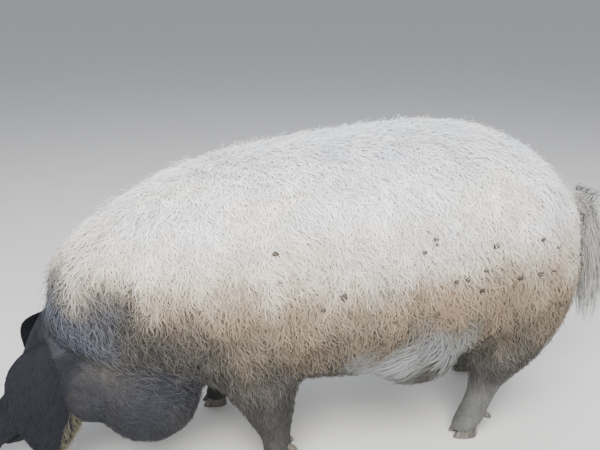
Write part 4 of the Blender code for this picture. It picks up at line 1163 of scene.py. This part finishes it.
def coat(hide, centres, path, material):
    """The whole coat but for the tail's and the ears' own hair."""
    draw = np.random.default_rng(COAT_SEED)
    surface = surface_of(hide)
    points, normals = samples_on(hide, SAMPLES, draw)
    keep = (points[:, 2] > HAIRLESS_HEIGHT) & away_from_features(points, centres, path)
    points, normals = points[keep], normals[keep]
    on_jowl = blob(points, *JOWL_PLACE) * (points[:, 2] > BARE_JOWL_HEIGHT)
    share = np.maximum(coat_share(points), JOWL_SHARE * np.minimum(on_jowl * 2, 1))
    is_long = share > LONG_FROM
    for name, picked, cell, pull in (
        ("coat", is_long, LONG_CELL, LONG_PULL),
        ("short_coat", ~is_long, SHORT_CELL, SHORT_PULL),
    ):
        chosen = np.nonzero(picked)[0]
        chosen = chosen[one_a_cell(points[chosen], cell)]
        roots, ups, full, jowl = points[chosen], normals[chosen], share[chosen], on_jowl[chosen]
        woolly = np.maximum(full, JOWL_WOOL * jowl)
        count = len(roots)
        on_fold = blob(roots, *FOLD_PLACE)
        pulls, group = lock_pulls(roots, pull)
        per_lock = draw.normal(size=(group.max() + 1, 3))[group]
        turn = draw.normal(0, TURN_SPREAD, count) * (TURN_AT_LEAST + TURN_BY_WOOL * woolly)
        turn = turn * (1 - FOLD_COMBED * on_fold) + LOCK_TURN * per_lock[:, 0]
        ways = turned_about(lie_of(roots, ups), ups, turn)
        lengths = SHORT_TUFT + (LONG_TUFT - SHORT_TUFT) * full
        lengths = lengths * draw.uniform(*TUFT_LENGTHS, count) * (1 + FOLD_LONGER * on_fold)
        widths = SHORT_WIDTH + (LONG_WIDTH - SHORT_WIDTH) * full
        widths = widths * draw.uniform(*TUFT_WIDTHS, count)
        room = coat_depths(roots) * HIDE_SHARE + JOWL_ROOM * jowl + FOLD_ROOM * on_fold
        lifts = draw.normal(TUFT_LIFT, TUFT_LIFT_SPREAD, count) + LOCK_LIFT * per_lock[:, 1]
        lifts = room * np.clip(lifts, *LIFT_LIMITS)
        curls = CURL_REACH * woolly * draw.uniform(*TUFT_CURLS, count)
        curls = curls * (1 - FOLD_STRAIGHTER * on_fold)
        turns = CURL_TURNS * draw.uniform(*TUFT_TURNS, count)
        lines, outward = strand_paths(
            surface, roots, ups, ways, lengths, lifts, curls, turns, pulls, COAT_RINGS, draw
        )
        colours = marked(roots)
        unlike = draw.normal(0, TUFT_TINTS, count) * (1 + DARK_TINTS * darkness(colours))
        bright = np.clip(1.0 + LOCK_TINT * per_lock[:, 2] * full + unlike, *TINT_LIMITS)
        colours = colours * bright[:, None]
        split_coat(name, lines, outward, widths, colours, unwrapped(roots), material)


def stray_curls(hide, material):
    """Thin curls that stand out of the coat along nape, back and rump."""
    draw = np.random.default_rng(COAT_SEED + 1)
    points, normals = samples_on(hide, CURLS * CURL_TRIES, draw)
    upper = (normals[:, 2] > CURL_FACING) & (points[:, 2] > CURL_HEIGHT)
    upper &= coat_share(points) > CURL_COAT
    points, normals = points[upper][:CURLS], normals[upper][:CURLS]
    count = len(points)
    turn = draw.normal(0, CURL_LIE_SPREAD, count)
    ways = turned_about(lie_of(points, normals), normals, turn)
    lengths = CURL_LENGTH * draw.uniform(*CURL_LENGTHS, count)
    stand = CURL_STAND * (BACK_STAND + NAPE_STAND * (1 - eased(points[:, 0], *NAPE_FADE)))
    lifts = coat_depths(points) * HIDE_SHARE * CURL_LIFT + stand * draw.random(count) ** 2
    curls = CURL_AMPLITUDE * draw.uniform(*CURL_AMPLITUDES, count)
    turns = draw.uniform(*CURL_WINDINGS, count)
    still = np.zeros_like(points)
    lines, outward = strand_paths(
        surface_of(hide), points, normals, ways, lengths, lifts, curls, turns, still, CURL_RINGS, draw
    )
    widths = CURL_WIDTH * draw.uniform(*CURL_WIDTHS, count)
    colours = marked(points) * draw.uniform(*CURL_TINTS, count)[:, None]
    split_coat("curls", lines, outward, widths, colours, unwrapped(points), material)


def mud_clods(hide, material):
    """Small clods of dried mud caught in the coat of the flanks."""
    draw = np.random.default_rng(CLOD_SEED)
    surface = surface_of(hide)
    points, faces = [], []
    for _ in range(CLODS):
        side = int(draw.choice((LEFT, RIGHT)))
        aim = Vector((draw.uniform(*CLOD_ALONG), side * BESIDE_THE_PIG, draw.uniform(*CLOD_HEIGHTS)))
        spot, normal, _, _ = surface.ray_cast(aim, Vector((0, -side, 0)))
        over_hide = float(coat_depths(np.array([spot]))[0] * HIDE_SHARE * CLOD_LIFT)
        reach = draw.uniform(*CLOD_REACH)
        shape = [reach, reach * 0.6, reach * draw.uniform(0.45, 0.9)]
        clod = ball("clod", spot + normal * over_hide, shape, 10, 7)
        faces += [[len(points) + i for i in face.vertices] for face in clod.data.polygons]
        points += [vertex.co + Vector(draw.normal(0, 0.16 * reach, 3)) for vertex in clod.data.vertices]
        discard(clod)
    mud = mesh_object("mud", points, faces)
    paint(mud, MUD)
    return finished(mud, material)


def finished(thing, material):
    """The piece moved into the row frame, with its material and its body."""
    thing.data.transform(Matrix.Translation((-AHEAD_OF_MIDDLE, 0, 0)))
    thing.data.materials.clear()
    thing.data.materials.append(material)
    thing.data.shade_smooth()
    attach(thing, "root")
    return thing


def paint(thing, colours):
    """The colour of every vertex, or one colour for all, for the material to read."""
    rgba = np.ones((len(thing.data.vertices), 4))
    rgba[:, :3] = colours
    layer = thing.data.color_attributes.new("Markings", "FLOAT_COLOR", "POINT")
    layer.data.foreach_set("color", rgba.reshape(-1))


def painted_hide(hide, centres, path):
    """The hide with its markings, darkened as painted shade under the coat, the more where the coat is
    full, and darker and bare on snout, lips and lids.
    """
    points, _ = vertex_arrays(hide)
    # Painted shade: the hide under the coat is darkened, more under a full coat
    under_coat = 1 - 0.16 * eased(coat_share(points), 0.2, 0.5)
    colours = marked(points) * (under_coat * 0.92)[:, None]
    bare = ~away_from_features(points, centres, path)
    colours[bare] = colours[bare] * 0.7
    paint(hide, colours)


def fine_ear(side):
    """The ear, smooth and cupped."""
    thing = ear("ear_form", side)
    soft = thing.modifiers.new("Soft", "SUBSURF")
    soft.levels = soft.render_levels = 2
    settled(thing)
    thing.name = f"ear_{LABELS[side]}_hide"
    return thing


def ear_hair(form, side, material):
    """Short hair over the ear, and wavy bristles along its hind edge."""
    draw = np.random.default_rng(COAT_SEED + 7 + side)
    surface = surface_of(form)
    points, normals = samples_on(form, EAR_SAMPLES, draw)
    keep = one_a_cell(points, EAR_CELL)
    points, normals = points[keep], normals[keep]
    count = len(points)
    tip = unit(np.array(mirrored(EAR_LINE[2], side)) - np.array(mirrored(EAR_LINE[0], side)))
    ways = square_to(tip + draw.normal(0, EAR_LIE_SPREAD, (count, 3)), normals)
    lengths = EAR_HAIR_LENGTH * draw.uniform(*EAR_HAIR_SIZES, count)
    lifts = EAR_HAIR_LIFT * draw.uniform(*EAR_HAIR_LIFTS, count)
    curls, still = np.full(count, EAR_HAIR_CURL), np.zeros_like(points)
    lines, outward = strand_paths(
        surface, points, normals, ways, lengths, lifts, curls, np.ones(count), still, COAT_RINGS, draw
    )
    # Ear hair in slate, the dark hair with painted shade
    tint = np.array(SLATE) * draw.uniform(*EAR_HAIR_TINTS, count)[:, None]
    widths, places = EAR_HAIR_WIDTH * draw.uniform(*EAR_HAIR_SIZES, count), ear_places(points, side)
    name = f"ear_{LABELS[side]}"
    strand_mesh(f"{name}_coat", lines, outward, widths, tint, places, material, "face_hide")
    roots, ups, ways = bristle_roots(side, draw)
    count = len(roots)
    lengths = EAR_BRISTLE * draw.uniform(*BRISTLE_LENGTHS, count)
    lifts = BRISTLE_LIFT * draw.uniform(*BRISTLE_LIFTS, count)
    curls = BRISTLE_CURL * draw.uniform(*BRISTLE_CURLS, count)
    turns = draw.uniform(*BRISTLE_TURNS, count)
    pulls = ways * BRISTLE_PULL
    lines, outward = strand_paths(
        surface, roots, ups, ways, lengths, lifts, curls, turns, pulls, CURL_RINGS, draw
    )
    tint = np.array(BRISTLE) * draw.uniform(*BRISTLE_TINTS, count)[:, None]
    widths, places = BRISTLE_WIDTH * draw.uniform(*BRISTLE_WIDTHS, count), ear_places(roots, side)
    strand_mesh(f"{name}_bristles", lines, outward, widths, tint, places, material, "face_hide")


def ear_places(points, side):
    """Each point's place on an unwrap of the ear: along it, and across it on its two faces."""
    root, tip = np.array(mirrored(EAR_LINE[0], side)), np.array(mirrored(EAR_LINE[2], side))
    along = (points - root) @ (tip - root) / ((tip - root) @ (tip - root))
    across = (points - root) @ np.array(mirrored(EAR_ACROSS, side))
    return np.stack([np.clip(along * 0.9 + 0.05, 0, 1), np.clip(0.5 + across * 4.5, 0.02, 0.98)], axis=1)


def bristle_roots(side, draw):
    """Roots, outward ways and lie of the bristles inside the ear's hind edge."""
    rows = smoothed([(width,) for width in EAR_HALF_WIDTHS], 2)
    roots, ups, ways = [], [], []
    for _ in range(EAR_BRISTLES):
        share = BRISTLES_FROM + BRISTLES_OVER * draw.beta(*BRISTLES_BUNCHED)
        half = float(np.interp(share * (len(rows) - 1), range(len(rows)), [row[0] for row in rows]))
        place = BRISTLE_EDGE - BRISTLE_INWARD * draw.random() ** BRISTLE_CROWDING
        root, way, face = ear_point(share, half, place)
        lie = way * 0.9 + EAR_ACROSS * draw.uniform(*BRISTLE_ACROSS)
        lie = lie - face * draw.uniform(*BRISTLE_BACK)
        roots.append(mirrored(root, side))
        ways.append(mirrored(lie.normalized(), side))
        ups.append(mirrored((-face + EAR_ACROSS * 0.3).normalized(), side))
    ways = np.array(ways)
    return np.array(roots), square_to(np.array(ups), ways), ways


def eyeball(side, centre):
    """An eyeball with a slight cornea."""
    thing = ball(f"eyeball_{LABELS[side]}", Vector(), [EYE_RADIUS] * 3, 48, 32)
    look = mirrored(EYE_LOOK, side)
    for vertex in thing.data.vertices:
        facing = vertex.co.normalized().dot(look)
        vertex.co += look * CORNEA * max(0.0, (facing - 0.80) / 0.20) ** 0.7
    gaze = np.array([v.co.normalized().dot(look) for v in thing.data.vertices])
    colours = np.empty((len(gaze), 3))
    for least, tint in EYE_TINTS:
        colours[gaze > least] = tint
    paint(thing, colours)
    thing.data.transform(Matrix.Translation(centre))
    return thing


def lashes(centres, material):
    """Short lashes along the upper lids."""
    draw = np.random.default_rng(COAT_SEED + 3)
    roots, ups, ways = [], [], []
    for side, centre in centres.items():
        look = mirrored(EYE_LOOK, side)
        turn = turned_to(look, UP).to_3x3()
        for number in range(LASHES):
            angle = math.pi * (LASHES_FROM + LASHES_OVER * number / (LASHES - 1))
            out = turn @ Vector((0.0, math.cos(angle), math.sin(angle)))
            from_middle = LID_OPENING[0] * (0.62 + 0.35 * abs(math.cos(angle)))
            roots.append(centre + look * EYE_RADIUS * 0.90 + out * from_middle)
            ways.append((look * 0.8 + out * 0.5 + Vector((0, 0, -0.25))).normalized())
            ups.append(out)
    roots, ways = np.array(roots), np.array(ways)
    ups = square_to(np.array(ups), ways)
    count = len(roots)
    lengths = LASH_LENGTH * draw.uniform(*LASH_LENGTHS, count)[:, None]
    droop = ups * lengths * LASH_DROOP
    path = [roots + ways * lengths * t - droop * t * t for t in np.linspace(0, 1, 5)]
    outward = np.repeat(ups[:, None], len(path), axis=1)
    tint = np.tile(np.array(LASH), (count, 1))
    level = roots[:, [0, 2]]
    places = np.clip(0.5 + (level - level.mean(axis=0)) * 3, 0, 1)
    widths = np.full(count, LASH_WIDTH)
    path = np.stack(path, axis=1)
    return strand_mesh("lashes", path, outward, widths, tint, places, material, "face_hide")


def fine_claw(thing):
    """A claw with its edges rounded."""
    soft = thing.modifiers.new("Round", "BEVEL")
    soft.width = 0.0035
    soft.segments = 3
    soft.limit_method = "ANGLE"
    soft.angle_limit = math.radians(40)
    settled(thing)
    return thing


def fine_tail():
    """The flesh of the tail, and its middle line."""
    rows = smoothed(TAIL_SECTIONS, 8)
    line = [Vector(row[:3]) for row in rows]
    return tube("tail_hide", line, [row[3] * TAIL_FLESH for row in rows], 24, ACROSS), line


def tail_hair(line, material):
    """Hair down the tail, the tassel, and wisps that flare up from it."""
    draw = np.random.default_rng(COAT_SEED + 4)
    strands = []
    for _ in range(TAIL_STRANDS):
        share = draw.random() ** 0.9
        spot = share * (len(line) - 1.001)
        low = int(spot)
        way = (line[min(low + 1, len(line) - 1)] - line[max(low - 1, 0)]).normalized()
        angle = draw.uniform(0, 2 * math.pi)
        first = way.cross(ACROSS).normalized()
        out = first * math.cos(angle) + way.cross(first) * math.sin(angle)
        down = way * (1.0 - share) + Vector(TAIL_HANG) * (share + 0.4)
        if WISPS_FROM < share < WISPS_TO and draw.random() < WISPS:
            down = Vector((*WISP_OUT, draw.uniform(*WISP_RISE)))
        length = TAIL_STRAND_LENGTH + TASSEL_LENGTH * eased(np.array(share), *TASSEL_FADE)
        length = length * draw.uniform(*TAIL_LENGTHS)
        lift = TAIL_LIFT + TASSEL_LIFT * share * draw.random()
        spread = TAIL_WAVE * draw.uniform(*TAIL_WAVES)
        root = line[low].lerp(line[low + 1], spot - low)
        strands.append((root, out, down.normalized(), length, lift, spread))
    roots, outs, downs, lengths, lifts, spread = (np.array(column) for column in zip(*strands))
    outs = square_to(outs, downs)
    sides = np.cross(outs, downs)
    phase, turns = draw.uniform(0, 6.28, len(roots)), draw.uniform(*TAIL_TURNS, len(roots))
    path = []
    for step in range(TAIL_RINGS + 1):
        t = step / TAIL_RINGS
        bow = lifts * math.sin(min(t * 1.15, 1) * math.pi * 0.80) + TAIL_BODY * min(t * 5, 1)
        wave = spread * min(t * 2, 1)
        angle = phase + 2 * math.pi * turns * t
        place = roots + downs * (lengths * t)[:, None] + outs * (bow + wave * np.cos(angle))[:, None]
        place = place + sides * (wave * np.sin(angle))[:, None]
        place[:, 2] -= TAIL_SAG * lengths * t * t
        path.append(place)
    outward = np.repeat(outs[:, None], len(path), axis=1)
    tint = np.array(TAIL_HAIR) * draw.uniform(*TAIL_TINTS, len(roots))[:, None]
    heights = np.clip((roots[:, 2] - 0.35) / 0.25, 0, 1)
    round_it = np.clip(0.5 + np.arctan2(roots[:, 1], roots[:, 0] - 1.1) / 6.3, 0, 1)
    places = np.stack([heights, round_it], axis=1)
    widths = TAIL_STRAND_WIDTH * draw.uniform(*TAIL_WIDTHS, len(roots))
    path = np.stack(path, axis=1)
    return strand_mesh("tail_tassel", path, outward, widths, tint, places, material, "tail_hair")


def new_material(name, shine):
    """A new material with its tree and its shader, which takes these uniform values."""
    material = bpy.data.materials.new(name)
    material.use_nodes = True
    tree = material.node_tree
    shader = tree.nodes["Principled BSDF"]
    for key, value in shine.items():
        shader.inputs[key].default_value = value
    return material, tree, shader


def add(tree, kind, **values):
    node = tree.nodes.new(kind)
    for key, value in values.items():
        if key in node.inputs:
            node.inputs[key].default_value = value
        else:
            setattr(node, key.lower(), value)
    return node


def stretched(tree, scale):
    """Object coordinates stretched by these factors."""
    where = add(tree, "ShaderNodeTexCoord")
    mapping = add(tree, "ShaderNodeMapping")
    mapping.inputs["Scale"].default_value = scale
    tree.links.new(where.outputs["Object"], mapping.inputs["Vector"])
    return mapping.outputs["Vector"]


def noise(tree, stretch, scale, detail, low, high):
    """Noise spread between two values."""
    node = add(tree, "ShaderNodeTexNoise", Scale=scale, Detail=detail)
    tree.links.new(stretched(tree, stretch), node.inputs["Vector"])
    spread = add(tree, "ShaderNodeMapRange")
    limits = {"From Min": 0.3, "From Max": 0.7, "To Min": low, "To Max": high}
    for key, value in limits.items():
        spread.inputs[key].default_value = value
    tree.links.new(node.outputs["Fac"], spread.inputs["Value"])
    return spread.outputs["Result"]


def markings(tree):
    """The colours painted on the mesh."""
    return add(tree, "ShaderNodeAttribute", attribute_name="Markings").outputs["Color"]


def times(tree, colour, factor):
    """A colour multiplied by a value."""
    node = add(tree, "ShaderNodeVectorMath")
    node.operation = "SCALE"
    tree.links.new(colour, node.inputs[0])
    tree.links.new(factor, node.inputs["Scale"])
    return node.outputs["Vector"]


def bumped(tree, shader, heights, distance, strength):
    node = add(tree, "ShaderNodeBump", Distance=distance, Strength=strength)
    tree.links.new(heights, node.inputs["Height"])
    tree.links.new(node.outputs["Normal"], shader.inputs["Normal"])


def coat_material():
    material, tree, shader = new_material("Coat", COAT_SHINE)
    colour = times(tree, markings(tree), noise(tree, *COAT_BLOTCHES))
    colour = times(tree, colour, noise(tree, *COAT_FIBRES))
    tree.links.new(colour, shader.inputs["Base Color"])
    return material


def hide_material():
    material, tree, shader = new_material("Hide", HIDE_SHINE)
    fibres = noise(tree, *HIDE_FIBRES)
    colour = times(tree, markings(tree), fibres)
    colour = times(tree, colour, noise(tree, *HIDE_BLOTCHES))
    tree.links.new(colour, shader.inputs["Base Color"])
    grain = add(tree, "ShaderNodeTexVoronoi", Scale=HIDE_GRAIN_SCALE)
    grain.feature = "DISTANCE_TO_EDGE"
    tree.links.new(stretched(tree, EVEN), grain.inputs["Vector"])
    height = add(tree, "ShaderNodeMath")
    height.operation = "MULTIPLY_ADD"
    height.inputs[1].default_value = HIDE_GRAIN
    tree.links.new(grain.outputs["Distance"], height.inputs[0])
    tree.links.new(fibres, height.inputs[2])
    bumped(tree, shader, height.outputs["Value"], *HIDE_BUMP)
    return material


def horn_material():
    material, tree, shader = new_material("Horn", HORN_SHINE)
    rings = add(tree, "ShaderNodeTexWave", Scale=HORN_RINGS, Distortion=1.5, Detail=3)
    rings.bands_direction = "Z"
    tree.links.new(stretched(tree, EVEN), rings.inputs["Vector"])
    ramp = add(tree, "ShaderNodeValToRGB")
    ramp.color_ramp.elements[0].color = DARK_HORN
    ramp.color_ramp.elements[1].color = PALE_HORN
    tree.links.new(noise(tree, *HORN_BLOTCHES), ramp.inputs["Fac"])
    tree.links.new(ramp.outputs["Color"], shader.inputs["Base Color"])
    bumped(tree, shader, rings.outputs["Fac"], *HORN_BUMP)
    return material


def eye_material():
    material, tree, shader = new_material("Eye", EYE_SHINE)
    colour = times(tree, markings(tree), noise(tree, *EYE_GRAIN))
    tree.links.new(colour, shader.inputs["Base Color"])
    return material


def floor_and_light():
    """A plain pale floor, a soft key light, light from above and a faint fill."""
    mesh = bpy.data.meshes.new("floor")
    corners = ((-1, -1), (1, -1), (1, 1), (-1, 1))
    mesh.from_pydata([(x * FLOOR_REACH, y * FLOOR_REACH, 0) for x, y in corners], [], [(0, 1, 2, 3)])
    floor = placed("floor", mesh)
    material, tree, shader = new_material("Floor", {"Roughness": 0.9})
    shade = noise(tree, *FLOOR_BLOTCHES)
    tint = add(tree, "ShaderNodeRGB")
    tint.outputs[0].default_value = FLOOR
    tree.links.new(times(tree, tint.outputs[0], shade), shader.inputs["Base Color"])
    mesh.materials.append(material)
    for name, place, aim, size, power, colour in LIGHTS:
        data = bpy.data.lights.new(name, "AREA")
        data.size = size
        data.energy = power
        data.color = colour
        aimed(placed(name, data), place, Vector(aim) - Vector(place))
    world = bpy.data.worlds.new("Studio")
    world.use_nodes = True
    world.node_tree.nodes["Background"].inputs["Color"].default_value = SKY
    world.node_tree.nodes["Background"].inputs["Strength"].default_value = SKY_STRENGTH
    bpy.context.scene.world = world


def aimed(thing, place, way):
    """The light or camera at its place, facing that way."""
    thing.location = place
    thing.rotation_euler = way.to_track_quat("-Z", "Y").to_euler()
    return thing


def set_camera():
    data = bpy.data.cameras.new("Camera")
    data.sensor_width, data.lens = 36.0, 42.0
    turn, pitch = math.radians(CAMERA_TURN), math.radians(CAMERA_PITCH)
    level = math.cos(pitch)
    way = Vector((math.sin(turn) * level, math.cos(turn) * level, -math.sin(pitch)))
    bpy.context.scene.camera = aimed(placed("Camera", data), CAMERA_PLACE, way)


def main():
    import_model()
    coat_stuff, hide_stuff = coat_material(), hide_material()
    horn_stuff, eye_stuff = horn_material(), eye_material()
    hide, centres, path = hide_form()
    coat(hide, centres, path, coat_stuff)
    stray_curls(hide, coat_stuff)
    mud_clods(hide, hide_stuff)
    lashes(centres, coat_stuff)
    for side, label in LABELS.items():
        form = fine_ear(side)
        ear_hair(form, side, coat_stuff)
        # Painted shade: the ear's hide is darker than the face's slate, as the hanging ear lies in shade
        paint(form, np.array(SLATE) * 0.7)
        finished(form, hide_stuff)
        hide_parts(f"ear_{label}")
        eye = finished(eyeball(side, centres[side]), eye_stuff)
        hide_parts(f"eye_{label}")
    for foot in FEET:
        for claw_side in (LEFT, RIGHT):
            place = "outer" if claw_side == foot[3] else "inner"
            for kind, make in (("claw", claw), ("dewclaw", dewclaw)):
                node = f"{kind}_{foot[0]}_{place}"
                horn = finished(fine_claw(make(node + "_horn", foot, claw_side)), horn_stuff)
                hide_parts(node)
    tail_form, tail_line = fine_tail()
    tail_hair(tail_line, coat_stuff)
    paint(tail_form, np.array(TAIL_HAIR) * 0.8)
    finished(tail_form, hide_stuff)
    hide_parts("tail")
    painted_hide(hide, centres, path)
    finished(hide, hide_stuff)
    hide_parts(*FLESH_NODES)
    floor_and_light()
    set_camera()


main()
